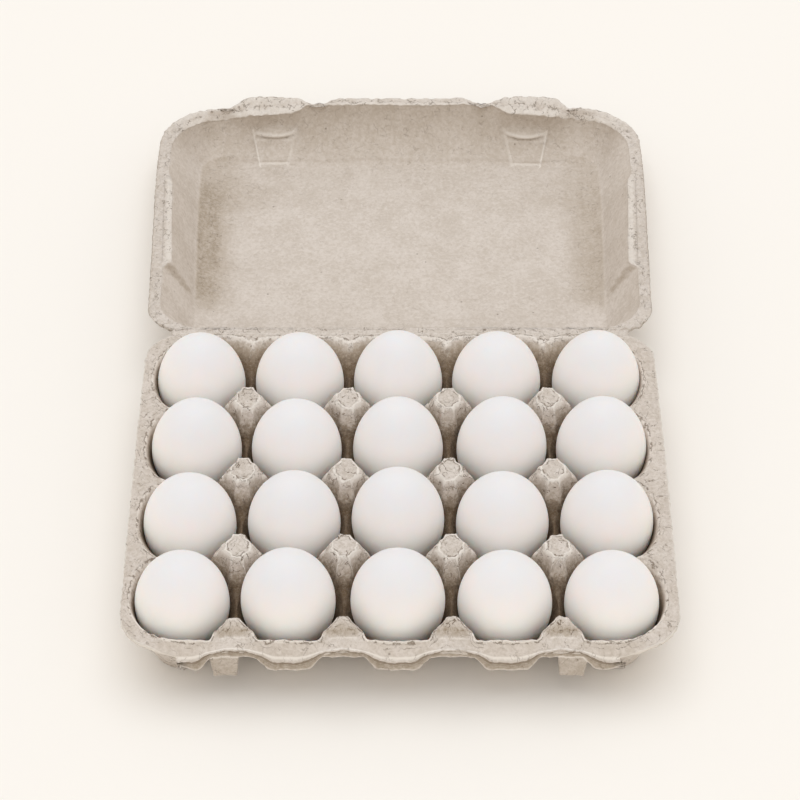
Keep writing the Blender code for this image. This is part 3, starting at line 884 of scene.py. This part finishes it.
tray_bm.normal_update()
offsets = {}
for vert in tray_bm.verts:
    offset = vert.co - SHEET * SKIN * vert.normal
    if vert not in lip_verts:
        ends = 1 - ease(abs(vert.co.x), LIP_END, BAND_END)
        share = float(ease(-vert.co.y, *NORMAL_BAND) * ends)
        offset = Vector((vert.co.x, vert.co.y, under_of[vert])).lerp(offset, share)
    offsets[place_of(vert)] = offset
sheet = list(tray_bm.faces)
copied = bmesh.ops.extrude_face_region(tray_bm, geom=sheet, use_keep_orig=True)["geom"]
copies = only(bmesh.types.BMVert, copied)
print("copied", len(copies), "of", len(offsets), "points")
for vert in copies:
    vert.co = offsets[place_of(vert)]
    mark(vert, layers[1:3], FAR_IN, 0.0)
bmesh.ops.recalc_face_normals(tray_bm, faces=tray_bm.faces)
open_edges = sum(not edge.is_manifold for edge in tray_bm.edges)
print("closed tray:", len(tray_bm.faces), "faces,", open_edges, "edges not manifold")
tray_bm.transform(Matrix.Translation(GRID) @ TO_METRES)
tray = mesh_object("tray_pulp", tray_bm)
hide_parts("tray")
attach(tray, "tray")
print("tray triangles", sum(len(face.vertices) - 2 for face in tray.data.polygons))

# %% [markdown]
# ## Lid
#
# The lid is a shallow dish pressed from the same pulp. It is built like a real die: closed rings
# from the outer rim inwards, down the wall, and across the panel. Its far wall carries two
# bosses and its far rim two notches, which catch the tray's tabs when the carton is shut.

# %% Lid sizes
LID_SHEET = 1.9
LID_NEAR, LID_FAR = 1.5, 205
INNER_NEAR, INNER_FAR = 2.6, 192.5
LID_DEPTH = 26.6
FOOT_DEPTH = 24
SIDE_FOOT = 22
LID_TILT = math.radians(-1.855)
NEAR_CORNERS = (18.5, 23)
FAR_CORNERS = (34, 27.5)
FOOT_CORNER = 14
LID_HALF = ((0, 131.6), (38, 132.8), (76, 134.4), (117, 136.2), (159, 137.4),
            (213, 137.6))
LID_FLANGE = ((0, 6.2), (54, 6.2), (56.8, 11.2), (94, 10.2), (129, 9.4), (138, 6.9),
              (213, 6.9))
FAR_STEPS = 72
FAR_FIXED = 90
FAR_REST = 10
FAR_ARC = 24
SIDE_STEPS = 84
NEAR_ARC = 18
NEAR_STEPS = 34


def profile(value, corners):
    """Straight stretches between (place, size) corners, a little rounded, on both sides of 0."""
    steps = (-1.2, 0.0, 1.2)
    return sum(along(np.abs(value) + step, corners) for step in steps) / len(steps)


def lid_half(y):
    return along(y, LID_HALF)


def arc(centre_x, centre_y, radius, start, steps):
    """Points of a quarter circle, clockwise from an angle."""
    turns = [start - math.pi / 2 * step / steps for step in range(steps)]
    return [(centre_x + radius * math.cos(turn), centre_y + radius * math.sin(turn))
            for turn in turns]


def lid_outline(inset_side, near, far, near_corner, far_corner):
    """A rounded outline, clockwise from the middle of the far side; inset_side(y) is its flange."""
    y_far, y_near = far - far_corner, near + near_corner
    centre_far, centre_near = (lid_half(y) - inset_side(y) - corner
                               for y, corner in ((y_far, far_corner), (y_near, near_corner)))
    rest = centre_far - FAR_FIXED
    sides = [y_far + (y_near - y_far) * step / SIDE_STEPS for step in range(SIDE_STEPS)]
    right = [(FAR_FIXED * step / FAR_STEPS, far) for step in range(FAR_STEPS)]
    right += [(FAR_FIXED + rest * step / FAR_REST, far) for step in range(FAR_REST)]
    right += arc(centre_far, y_far, far_corner, math.pi / 2, FAR_ARC)
    right += [(lid_half(y) - inset_side(y), y) for y in sides]
    right += arc(centre_near, y_near, near_corner, 0.0, NEAR_ARC)
    right += [(centre_near * (1 - step / NEAR_STEPS), near) for step in range(NEAR_STEPS + 1)]
    return np.array(right + [(-x, y) for x, y in reversed(right[1:-1])])


print("lid half widths:", lid_half(np.array([0.0, 100.0, 200.0])).round(1))

# %% Lid details
FAR_EDGE = ((0, 210.7), (37, 210.7), (41, 208.3), (44.5, 204.5), (49, 204.2), (53.5, 206),
            (57, 209.6), (61, 211.6), (68, 212.4), (78, 212.7), (86, 212.1), (91.5, 210.7),
            (95, 207.5), (100, 205.2), (140, 205))
FAR_INNER = ((0, 203.3), (54, 203.3), (62, 200.5), (90, 197), (100, 192.8),
             (140, 192.5))
FAR_DROP = ((0, 0), (54, 0), (62, 4), (90, 4), (100, 3), (150, 3))
EDGE_DROP = ((0, 0), (91, 0), (98, 3), (150, 3))
DROP_RANGE = (125, 182)
SLIDE_RIM = ((0, 2.4), (40, 2.4), (45, 0.9), (54, 0.9), (62, 1.8), (76, 1.8), (90, 4),
             (100, 10.5), (106, 10.5), (112, 8.5), (120, 4.5), (126, 0))
SLIDE_HALFWAY = ((0, 3), (54, 3.2), (60, 4.6), (88, 4.6), (100, 0))
SLIDE_START = (166, 184)
SLIDE_END = 25
SLIDE_POWER = 1.6
SLIDE_DROP = 0.7
BOSS_X = 73.5
BOSS_TOP_HALF = 13
BOSS_LOW_HALF = 8.2
BOSS_CHEEK = 1.2
BOSS_CLEAR = 16.5
BOSS_FRONT = ((10, 194.5), (12, 188.6), (12.9, 188), (13.7, 189), (14.7, 188.2),
              (26, 182.2), (26.6, 181.4))
BOSS_ARC = 4.4
BOSS_ARC_END = 14.7
BOSS_BACK = 10
BOSS_BEAD = 0.5


def boss_half(depth):
    return between((BOSS_TOP_HALF, BOSS_LOW_HALF), ramp(depth, BOSS_BACK, LID_DEPTH))


def toward_boss(x, depth):
    """The far wall's columns are drawn together over a boss, so that its cheeks stay straight."""
    aside = np.abs(x) - BOSS_X
    half = boss_half(depth)
    spread = np.abs(aside)
    near = half + spread - BOSS_TOP_HALF
    near = np.where(spread < BOSS_TOP_HALF, spread * half / BOSS_TOP_HALF, near)
    clear = BOSS_TOP_HALF + BOSS_CHEEK
    stretched = (BOSS_CLEAR - half - BOSS_CHEEK) / (BOSS_CLEAR - clear)
    past = half + BOSS_CHEEK + (spread - clear) * stretched
    drawn = np.where(spread < clear, near, np.where(spread < BOSS_CLEAR, past, spread))
    return np.sign(x) * (BOSS_X + np.sign(aside) * drawn)


def boss_place(x, depth):
    """Where a boss's front stands at this depth: a crescent lip, a groove, and a plain face."""
    share = np.clip(np.abs(np.abs(x) - BOSS_X) / BOSS_TOP_HALF, 0, 1)
    crescent = BOSS_ARC * share ** 2 * (1 - ramp(depth, BOSS_FRONT[2][0] + 0.3, BOSS_ARC_END))
    return along(depth, BOSS_FRONT) + crescent


def drop_at(x, y, corners):
    """How far the rim has sunk towards the far corners."""
    return profile(x, corners) * ease(y, *DROP_RANGE)


def flange_width(y):
    return profile(y, LID_FLANGE)


def slid(x, y, z, depth, share=1.0):
    """The far side moved back and down, so that the shut lid has room for the front eggs."""
    down = min(depth / SLIDE_END, 1.0)
    amount = share * profile(x, SLIDE_RIM) * (1 - down ** SLIDE_POWER)
    amount = amount + profile(x, SLIDE_HALFWAY) * 4 * down * (1 - down)
    amount = amount * ease(y, *SLIDE_START)
    return np.column_stack((x, y + amount, z - SLIDE_DROP * amount))


print("boss half widths", boss_half(10.0), boss_half(26.6).round(2))

# %% [markdown]
# ## The lid's rings
#
# Each ring is the same walk round the lid, drawn further in and further down. Where the flange is
# wide it has a fold line half way across and a raised bead along its inner edge, with a painted
# shade line on the fold and a painted highlight on the bead; the downturned outer edge gets a
# painted shade line too. The side walls step back near the hinge behind a short upright crease.
# The panel is closed by rings that shrink towards its middle, and it sags and swells by a
# fraction of a millimetre as dried pulp does.

# %% Lid rings
# (share of the flange's width, height, painted highlight above 0 and painted shade below 0) for
# each ring, from the outer edge in
FLANGE_SECTION = ((0, -0.9, -0.42), (0.08, -0.2, 0.1), (0.3, 0, 0), (0.46, -0.05, 0),
                  (0.54, -0.45, -0.4), (0.62, 0.05, 0.2), (0.8, 0.3, 0.35), (0.94, 0.1, 0.3))
WALL_DEPTHS = (0, 0.5, 1.5, 3.5, 5.5, 7.2, 8.4, 9.6, 10.7, 11.65, 12.85, 15, 18, 21, 22.6,
               23.1, 23.6, 24.2, 25, 25.6, 26.1, 26.45, 26.6)
SIDE_LOW = ((23, 22), (23.6, 23.2), (25, 26), (26.1, 29.5), (26.6, 33))
FAR_LOW = ((24, 8), (25.6, 9.2), (26.3, 10.6), (26.6, 12.8))
NEAR_LOW = ((0, 0), (24, 15), (26, 18), (26.6, 22))
PANEL_SHARES = (0.04, 0.08, 0.13, 0.2, 0.28, 0.36, 0.44, 0.52, 0.6, 0.68, 0.76, 0.84, 0.92, 0.97)
ON_LINE = 0.01
# painted highlight on the top edge of the lid's wall; the next two lighten the far rim's crumples
# and its middle strip
RIM_HIGHLIGHT = 0.3
FAR_LIGHT = 0.28
STRIP_LIGHT = 0.25
# painted shade along the foot of the side walls, on the gusset facet near the hinge, and on the far
# wall and the panel next to it; the lid's and the panel's base values are a plain darker tone
BAND_PAINTED_SHADE = 0.4
BAND_RIGHT = 0.75
GUSSET_PAINTED_SHADE = 0.3
LID_STAIN = 0.03
PANEL_STAIN = 0.07
FAR_PAINTED_SHADE = 0.25
# where something starts and is full, across the lid or towards its far side or down its wall
PLAIN_HALF, SIDE_AREA, WIDE_AREA = (54, 62), (92, 104), (100, 118)
NEAR_FADE, CRUMPLE_START, STRIP_START, FAR_START = (4, 20), (178, 192), (195, 203), (165, 195)
BAND_START_Y, BAND_FADE_Y, BAND_DEPTH = (40, 62), (150, 185), (22.9, 23.4)
WIDE_BAND = (52, 58, 129, 137)
GUSSET_BAND = (52.8, 54.3, 56.4, 57.8)
GUSSET_TOP, GUSSET_FOOT = (0.2, 1), (18, 22)
# (depth, half height, share of the painted highlight) of the lines across a boss
BOSS_LINES = ((12.5, 0.6, 1), (14.7, 0.4, 0.5), (26.2, 0.3, 0.6))
BOSS_HIGHLIGHT = 0.56


def wide_part(x, y):
    return ease(np.abs(x), *WIDE_AREA) * plateau(y, *WIDE_BAND)


def crumple(x, y):
    """1 on the crumpled stretches of the far rim, 0 elsewhere."""
    return ease(np.abs(x), *PLAIN_HALF) * ease(y, *CRUMPLE_START)


def flange_ring(share, height, shade):
    near_corner, far_corner = between(NEAR_CORNERS, share), between(FAR_CORNERS, share)
    near, far = between((LID_NEAR, INNER_NEAR), share), between((LID_FAR, INNER_FAR), share)
    x, y = lid_outline(lambda y: flange_width(y) * share, near, far, near_corner, far_corner).T
    on_far = np.abs(y - far) < ON_LINE
    outs = profile(x, FAR_EDGE) - LID_FAR, profile(x, FAR_INNER) - INNER_FAR
    y = y + np.where(on_far, between(outs, share), 0.0)
    drop = between((drop_at(x, y, EDGE_DROP), drop_at(x, y, FAR_DROP)), share)
    wide = np.where(share > 0.1, 0.25 + 0.75 * wide_part(x, y), 1.0) * ease(y, *NEAR_FADE)
    strip = STRIP_LIGHT * ease(y, *STRIP_START) * (1 - ease(np.abs(x), *PLAIN_HALF))
    # painted shade and highlight lines, strongest where the flange is wide; the far rim's crumples
    # and middle strip are lightened
    edge = shade * wide + FAR_LIGHT * crumple(x, y) + strip
    return slid(x, y, height * wide - drop, 0.0, share), edge, np.zeros_like(x)


def side_inset(y, depth):
    if depth < SIDE_LOW[0][0]:
        return between((flange_width(y), SIDE_FOOT), depth / SIDE_LOW[0][0])
    return along(depth, SIDE_LOW) + 0.0 * y


def wall_ring(depth, bossed=True):
    share = min(1.0, depth / FOOT_DEPTH)
    near_corner, far_corner = (between((corners[1], FOOT_CORNER), share)
                               for corners in (NEAR_CORNERS, FAR_CORNERS))
    near = INNER_NEAR + along(depth, NEAR_LOW)
    far = INNER_FAR - (along(depth, FAR_LOW) if depth > FOOT_DEPTH else FAR_LOW[0][1] * share)
    x, y = lid_outline(lambda y: side_inset(y, depth), near, far, near_corner, far_corner).T
    on_far = np.abs(y - far) < ON_LINE
    y = y + np.where(on_far, (profile(x, FAR_INNER) - INNER_FAR) * (1 - share), 0.0)
    actual = depth + drop_at(x, y, FAR_DROP) * (1 - share)
    # painted highlight on the wall's top edge
    edge = np.full_like(x, RIM_HIGHLIGHT if depth < 0.4 else 0.0)
    if bossed:
        aside = np.abs(np.abs(x) - BOSS_X)
        amount = (1 - ramp(aside, BOSS_TOP_HALF, BOSS_TOP_HALF + BOSS_CHEEK)) * on_far
        amount = amount * (actual > BOSS_BACK + 0.2)
        # painted highlight on a boss's cheek edges and on the lines across it
        rim = ramp(aside, BOSS_TOP_HALF - 1.6, BOSS_TOP_HALF - 0.2)
        front = np.minimum(y, boss_place(x, actual) - BOSS_BEAD * rim * (actual > BOSS_ARC_END))
        lip = sum(light * (np.abs(actual - line) < half) for line, half, light in BOSS_LINES)
        edge = edge + amount * np.maximum(0.5 * rim, BOSS_HIGHLIGHT * lip)
        x = np.where(on_far, toward_boss(x, actual), x)
        y = y + (front - y) * amount
    # painted shade along the side walls' foot, on the gusset facet and towards the far wall
    at_side = ease(np.abs(x), *SIDE_AREA)
    band = at_side * ease(y, *BAND_START_Y) * (1 - 0.6 * ease(y, *BAND_FADE_Y))
    band = band * np.where(x > 0, BAND_RIGHT, 1.0) * ramp(depth, *BAND_DEPTH)
    gusset = at_side * plateau(y, *GUSSET_BAND)
    gusset = gusset * ramp(depth, *GUSSET_TOP) * (1 - ramp(depth, *GUSSET_FOOT))
    painted_shade_and_stain = LID_STAIN + BAND_PAINTED_SHADE * band + GUSSET_PAINTED_SHADE * gusset
    painted_shade_and_stain = painted_shade_and_stain + FAR_PAINTED_SHADE * ease(y, *FAR_START)
    return slid(x, y, -actual, depth), edge, painted_shade_and_stain


def panel_ring(last, plain, painted_shade_and_stain, share):
    centre = np.array((0.0, (INNER_NEAR + INNER_FAR) / 2, -LID_DEPTH))
    bossed = (last - plain) * max(0.0, 1 - share / PANEL_SHARES[2])
    points = plain + (centre - plain) * share + bossed
    # the walls' painted shade fades out across the edge of the panel, over a wider stretch next to
    # the far wall
    fade = 1 - ramp(share, 0.0, 0.12 + 0.38 * ease(plain[:, 1], INNER_FAR - 60, INNER_FAR - 12))
    return points, np.zeros(len(plain)), PANEL_STAIN + (painted_shade_and_stain - PANEL_STAIN) * fade


lid_rings = [flange_ring(*section) for section in FLANGE_SECTION]
lid_rings += [wall_ring(depth) for depth in WALL_DEPTHS]
last_ring, _, last_shade_and_stain = lid_rings[-1]
plain_ring = wall_ring(LID_DEPTH, bossed=False)[0]
lid_rings += [panel_ring(last_ring, plain_ring, last_shade_and_stain, share) for share in PANEL_SHARES]
print("lid rings:", len(lid_rings), "of", len(lid_rings[0][0]))

# %% Building the lid
RIM_RINGS = len(FLANGE_SECTION) + 1
LID_RIM_DROP = 0.3
RIM_START = 1.75
RIM_SPAN = 2.2
LID_CRINKLE = 0.13
RIM_CRINKLE = 0.42
FAR_CRUMPLE = 0.8
LID_WAVER = 0.45
LID_ROUGH = 0.12
RIM_ROUGH = 0.85


def build_lid():
    bm = bmesh.new()
    layers = mark_layers(bm)
    circle = bmesh.ops.create_circle(bm, segments=len(lid_rings[0][0]), radius=1.0)
    loop = in_turn(circle["verts"], reverse=True)
    for index, (ring, shades, painted_shades_and_stains) in enumerate(lid_rings):
        if index:
            loop = grown(bm, loop)
        x, y, z = ring.T
        on_rim = index < RIM_RINGS
        fine = (RIM_CRINKLE if on_rim else LID_CRINKLE) * ripple(x, y, 2.4, 21)
        inner = min(1.0, index / 3, (RIM_RINGS - index) / 4) if on_rim else 0.0
        fine += FAR_CRUMPLE * inner * crumple(x, y) * ripple(x * 1.6, y, 4.5, 24)
        slow = LID_WAVER * ripple(x, y, 22.0, 22) * (0.35 if on_rim else 1.0)
        ragged = RAGGED * ripple(x + y, y - x, 3.0, 23) * (index == 0)
        inset = RIM_START + RIM_SPAN * FLANGE_SECTION[index][0] if index < RIM_RINGS - 1 else FAR_IN
        rows = zip(loop, x, y, z + fine + slow, ragged, shades, painted_shades_and_stains)
        for vert, px, py, pz, out, shade, painted_shade_and_stain in rows:
            vert.co = (px + out * math.copysign(0.7, px), py + out * 0.5, pz - LID_RIM_DROP)
            rough = RIM_ROUGH if on_rim else LID_ROUGH + painted_shade_and_stain - LID_STAIN
            mark(vert, layers, shade, inset, painted_shade_and_stain, rough)
    bmesh.ops.edgeloop_fill(bm, edges=loop_edges(bm, loop))
    face_up(bm)
    bm.transform(Matrix.Translation(HINGE) @ Matrix.Rotation(LID_TILT, 4, "X") @ TO_METRES)
    return mesh_object("lid_pulp", bm)


lid = build_lid()
add_sheet(lid, LID_SHEET)
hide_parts("lid")
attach(lid, "lid")
print("lid faces", len(lid.data.polygons))

# %% [markdown]
# ## Hinge strip
#
# The tray and the lid are one sheet, creased along the back. The crease is a strip of its own
# here, which overlaps both by a hair.

# %% Hinge strip
STRIP_HALF = 118.5
STRIP_STEPS_X = 140
STRIP_STEPS_Y = 8
STRIP_BACK = (LID_NEAR + 1.5) * MM
STRIP_OVERLAP = 1.5 * MM
STRIP_SHEET = 1.7
STRIP_EDGE = 0.1


def build_strip():
    bm = bmesh.new()
    bmesh.ops.create_grid(bm, x_segments=STRIP_STEPS_X, y_segments=STRIP_STEPS_Y, size=1.0)
    layers = mark_layers(bm)
    front = TRAY_HIGH.y - STRIP_OVERLAP
    back = HINGE.y + STRIP_BACK
    for vert in bm.verts:
        along_x, across = vert.co.x, (vert.co.y + 1) / 2
        bumps = math.sin(along_x * 61) * 0.08 + math.sin(along_x * 143 + across * 4) * 0.07
        dip = -0.15 * math.sin(math.pi * across) + bumps
        z = (RIM_Z - 0.15 + dip) * MM
        vert.co = (along_x * STRIP_HALF * MM, between((front, back), across), z)
        mark(vert, layers, STRIP_EDGE, FAR_IN, 0.0, 1.0)
    return mesh_object("hinge_strip", bm)


strip = build_strip()
add_sheet(strip, STRIP_SHEET)
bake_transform(strip)
print("hinge strip", len(strip.data.polygons), "faces")

# %% [markdown]
# ## Eggs
#
# No two eggs are alike: they differ in width, in how pointed they are, and in how they lean in
# the cup. Each starts as a sphere, is drawn out upwards and narrowed towards one end. The
# pointed end is mostly up in the back rows, the blunt end in front.

# %% Eggs
EGG_SEGMENTS = 64
EGG_RINGS = 40
EGG_RADIUS = 22.2
EGG_HALF_HEIGHT = 28
EGG_BOTTOM = 2.75
EGG_PIVOT = 8
# (width, point, lean to the right, lean to the back, lift) for each egg, front row first
EGGS = (
    ((0.99, -0.02, 0, 0, -0.8), (0.99, -0.02, -2, 0, 0.8), (0.99, -0.03, 0, 0, 0.6),
     (0.99, -0.02, -1, 0, -0.8), (0.99, -0.01, -2, 0, -0.9)),
    ((1, 0, 1, 0, -0.8), (1, 0.02, 1, 0, 1), (1, -0.01, 0, 3, 1.4), (1, 0.01, 0, 0, 0.2),
     (1, 0, 0, 1, 0.3)),
    ((1, 0.03, 1.6, 1, 0.6), (1, 0, 0, 0, 0), (1, 0.04, 0, 2, 0.9), (1, 0.02, 3, 2, 0.8),
     (1, 0.03, 1, 2, 1.1)),
    ((1, 0.05, 0, -1, -0.3), (1.01, 0.03, 0, -1, -0.6), (1.01, 0.06, 0, 1, 0.2),
     (1.01, 0.03, 0, 0, -0.4), (1, 0.05, 2, 1, 0.2)),
)


def build_egg(name, place, width, point, lean_x, lean_y, lift):
    bm = bmesh.new()
    bmesh.ops.create_uvsphere(bm, u_segments=EGG_SEGMENTS, v_segments=EGG_RINGS, radius=1.0)
    for vert in bm.verts:
        narrow = width * (1 - point * vert.co.z - 0.5 * abs(point) * vert.co.z ** 2)
        vert.co.x *= EGG_RADIUS * narrow
        vert.co.y *= EGG_RADIUS * narrow
        vert.co.z *= EGG_HALF_HEIGHT
    lean_right = Matrix.Rotation(math.radians(lean_x), 4, "Y")
    lean = lean_right @ Matrix.Rotation(math.radians(-lean_y), 4, "X")
    rise = Matrix.Translation((0, 0, EGG_BOTTOM + EGG_HALF_HEIGHT - EGG_PIVOT))
    stand = Matrix.Translation((0, 0, EGG_PIVOT + lift))
    bm.transform(Matrix.Translation(place) @ TO_METRES @ stand @ lean @ rise)
    return mesh_object(name, bm)


eggs = []
for row in range(ROWS):
    for column in range(COLUMNS):
        node = f"egg_{row + 1}_{column + 1}"
        centre = middle_of(node)
        foot = Vector((centre.x, centre.y, 0.0))
        egg = build_egg(f"shell_{row + 1}_{column + 1}", foot, *EGGS[row][column])
        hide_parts(node)
        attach(egg, "tray")
        eggs.append(egg)
print(len(eggs), "eggs")

# %% [markdown]
# ## Pulp
#
# Moulded pulp is recycled paper: a warm grey felt with clouds of darker stock, fine fibres, and
# here and there a dark speck. Thin pressed edges are cracked. Rims and edges get a painted
# highlight, creases a painted shade, and the hollows between the eggs a painted brown shade. The
# mottling is one shader group; rims, creases and the painted shade come from the values that the
# shape code left on each point.

# %% Pulp group
# the first colour is the first step of the painted shade and stain, and the colour of pits; the
# second is the deep painted shade
TAN = (0.42, 0.35, 0.275, 1)
SHADE_BROWN = (0.155, 0.108, 0.066, 1)
SPECK = (0.16, 0.125, 0.09, 1)
MM_SCALE = 1000
STREAK_SIZES = (4, 16, 9)
STREAK_TURN = 0.6
SPECK_SPACING = 4.8
SPECK_RARE = 0.955
GROUP_SOCKETS = (("INPUT", "Vector", "Vector"), ("INPUT", "Color", "Light Dark"),
                 ("INPUT", "Float", "Deep Rough"), ("OUTPUT", "Color", "Color"),
                 ("OUTPUT", "Float", "Height Patches Places Cracks Folds Wander"))


def felt_noise(vector, size, *settings):
    """Noise with bumps of a size in millimetres."""
    return noise_node(vector, MM_SCALE / size, *settings)


def wandering_lines(vector, size, thin, seed):
    """Thin lines along which a noise passes its middle; size in millimetres."""
    inputs = {"Location": (seed, seed * 2.0, seed * 3.0), "Vector": vector}
    moved = add_node(vector.id_data, "Mapping", inputs)
    noise = felt_noise(moved.outputs["Vector"], size, 3.0, 0.55, 0.4)
    return map_range(math_node("ABSOLUTE", minus(noise, 0.5)), thin, 0.3 * thin)


def pulp_group():
    group = bpy.data.node_groups.new("pulp_felt", "ShaderNodeTree")
    for side, kind, names in GROUP_SOCKETS:
        for name in names.split():
            group.interface.new_socket(name, in_out=side, socket_type="NodeSocket" + kind)
    start, end = group.nodes.new("NodeGroupInput"), group.nodes.new("NodeGroupOutput")
    vector, light, dark, deep, rough = start.outputs[:5]
    # mottled grey
    clouds = felt_noise(vector, 16.0, 3.0, 0.5)
    felt = felt_noise(vector, 2.2, 6.0, 0.7, 0.5)
    grains = felt_noise(vector, 1.1, 3.0, 0.7, 1.0)
    mottle = plus(times(clouds, 0.3), times(felt, 0.7))
    colour = mix_colors(map_range(mottle, 0.36, 0.64), dark, light)
    # painted shade and stain, in streaks where the felt is smooth and in grains where it is rough
    slanted = add_node(group, "Mapping", {"Rotation": (0.0, 0.0, STREAK_TURN), "Vector": vector,
                                          "Scale": [MM_SCALE / size for size in STREAK_SIZES]})
    streaks = map_range(noise_node(slanted.outputs["Vector"], 1.0), 0.35, 0.65, 0.8, 1.12)
    grainy = map_range(plus(times(felt, 0.6), times(grains, 0.4)), 0.38, 0.62, 1.35, 0.7)
    shade_and_stain_share = times(deep, plus(streaks, times(minus(grainy, streaks), rough)), clamp=True)
    colour = mix_colors(times(shade_and_stain_share, 1.8, clamp=True), colour, TAN)
    colour = mix_colors(map_range(shade_and_stain_share, 0.3, 1.0), colour, SHADE_BROWN)
    # pits and rare specks
    colour = mix_colors(times(map_range(grains, 0.5, 0.34, 0.0, 0.45), rough), colour, TAN)
    specks = add_node(group, "TexVoronoi",
                      {"Vector": vector, "Scale": MM_SCALE / SPECK_SPACING}).outputs
    chance = add_node(group, "SeparateColor", {0: specks["Color"]}).outputs[0]
    chosen = math_node("GREATER_THAN", chance, SPECK_RARE)
    speck = times(times(map_range(specks["Distance"], 0.16, 0.08), chosen), 0.55)
    # where a rim may crack, and how its lines wander
    patches = map_range(felt_noise(vector, 4.0, 2.0, 0.5), 0.47, 0.54)
    feed(end, {"Color": mix_colors(speck, colour, SPECK),
               "Height": plus(times(felt, 0.7), times(grains, 0.3)),
               "Patches": patches,
               "Places": map_range(felt_noise(vector, 6.0, 2.0, 0.5), 0.52, 0.6, 0.0, 0.75),
               "Cracks": times(wandering_lines(vector, 9.0, 0.012, 3.0), patches),
               "Folds": wandering_lines(vector, 3.2, 0.09, 7.0),
               "Wander": times(minus(felt_noise(vector, 2.5), 0.5), 3.0)})
    return group


PULP_GROUP = pulp_group()
print("pulp group:", len(PULP_GROUP.nodes), "nodes")

# %% Pulp material
PULP_LIGHT = (0.715, 0.655, 0.605, 1)
PULP_DARK = (0.585, 0.522, 0.462, 1)
# painted highlight for rims and edges; the next colour is for cracks and for painted shade in
# creases
PULP_HIGHLIGHT = (0.86, 0.81, 0.75, 1)
PULP_CRACK_AND_SHADE = (0.22, 0.17, 0.125, 1)
RIM_LINES = 0.8
HIGHLIGHT_SHARE = 0.8
CRACK_AND_SHADE_SHARE = 0.82
PULP_BUMP = (0.55, 0.0008)


def pulp_material(name):
    made, shader = new_material(name, {"Specular IOR Level": 0.25, "Roughness": 0.92})
    tree = made.node_tree
    edge, inset, deep, rough = (add_node(tree, "Attribute", attribute_name=value).outputs["Fac"]
                                for value in MARKS)
    inputs = {"Vector": add_node(tree, "TexCoord").outputs["Object"], "Light": PULP_LIGHT,
              "Dark": PULP_DARK, "Deep": deep, "Rough": rough}
    felt = add_node(tree, "Group", inputs, node_tree=PULP_GROUP).outputs
    on_flange = map_range(inset, FAR_IN - 0.05, FAR_IN - 0.3)
    inset = plus(inset, felt["Wander"])
    # painted highlight on rims and edges, kept off the painted shade
    rim = times(map_range(inset, -0.6, 0.0), map_range(inset, 1.0, 0.5))
    light = larger(times(rim, HIGHLIGHT_SHARE), map_range(edge, 0.1, 0.55, 0.0, 0.75))
    light = times(light, map_range(deep, 0.5, 0.1))
    colour = mix_colors(light, felt["Color"], PULP_HIGHLIGHT)
    # dark cracks along rims, in lines across flanges and here and there, and painted shade in
    # creases
    groove = times(map_range(inset, 0.9, 1.2), map_range(inset, 1.7, 1.3))
    crack_and_crease_shade = larger(times(groove, felt["Patches"]), map_range(edge, -0.15, -0.6, 0.0, 0.7))
    line = times(map_range(math_node("PINGPONG", inset, RIM_LINES), 0.16, 0.05), felt["Places"])
    crack_and_crease_shade = larger(crack_and_crease_shade, times(line, on_flange))
    crack_and_crease_shade = larger(crack_and_crease_shade, times(felt["Cracks"], rough))
    colour = mix_colors(times(crack_and_crease_shade, CRACK_AND_SHADE_SHARE), colour, PULP_CRACK_AND_SHADE)
    relief = times(felt["Height"], map_range(rough, 0.0, 1.0, 0.35, 1.3))
    relief = plus(minus(relief, times(crack_and_crease_shade, 0.8)), times(rim, 0.35))
    relief = plus(relief, times(felt["Folds"], map_range(rough, 0.4, 1.0, 0.0, 0.35)))
    feed(shader, {"Base Color": colour})
    add_bump(shader, relief, *PULP_BUMP)
    return made


pulp = pulp_material("pulp")
for piece in (tray, lid, strip):
    piece.data.materials.append(pulp)
print("pulp materials on", tray.name, lid.name, strip.name)

# %% [markdown]
# ## Eggshell
#
# A white hen's egg is matte, with very fine pores. Its lower half is painted lighter and warmer
# than its top: a painted fill light and a painted warm reflection from the pulp. Light scatters
# through the shell, so its shadows are soft; the pores are a tiny bump.

# %% Eggshell and floor
SHELL_REACH = (0.010, 0.008, 0.007)
SHELL_TOP = (0.775, 0.78, 0.805, 1)
# painted fill light and warm reflection: the lower half is lighter and warmer, blending to the top
# over the next heights
SHELL_LOW_PAINTED_LIGHT = (0.97, 0.915, 0.89, 1)
SHELL_PAINTED_LIGHT_HEIGHTS = (0.037, 0.062)
SHELL_BUMP = (0.15, 0.0002)
FLOOR_COLOUR = (0.925, 0.897, 0.857, 1)


def shell_material():
    made, shader = new_material("eggshell_white", {
        "Roughness": 0.6, "Specular IOR Level": 0.2, "Subsurface Weight": 1.0,
        "Subsurface Radius": SHELL_REACH, "Subsurface Scale": 1.0})
    place = add_node(made.node_tree, "TexCoord").outputs["Object"]
    height = add_node(made.node_tree, "SeparateXYZ", {0: place}).outputs["Z"]
    # painted light: lighter and warmer towards the bottom
    share = map_range(plus(height, times(noise_node(place, 35.0, 3.0), 0.004)), *SHELL_PAINTED_LIGHT_HEIGHTS)
    feed(shader, {"Base Color": mix_colors(share, SHELL_LOW_PAINTED_LIGHT, SHELL_TOP)})
    add_bump(shader, noise_node(place, 1500.0, 2.0), *SHELL_BUMP)
    return made


shell = shell_material()
for egg in eggs:
    egg.data.materials.append(shell)
floor_material, _ = new_material("floor_pale", {
    "Base Color": FLOOR_COLOUR, "Roughness": 0.9, "Specular IOR Level": 0.1})
floor.data.materials.append(floor_material)
print("eggshell and floor finished")
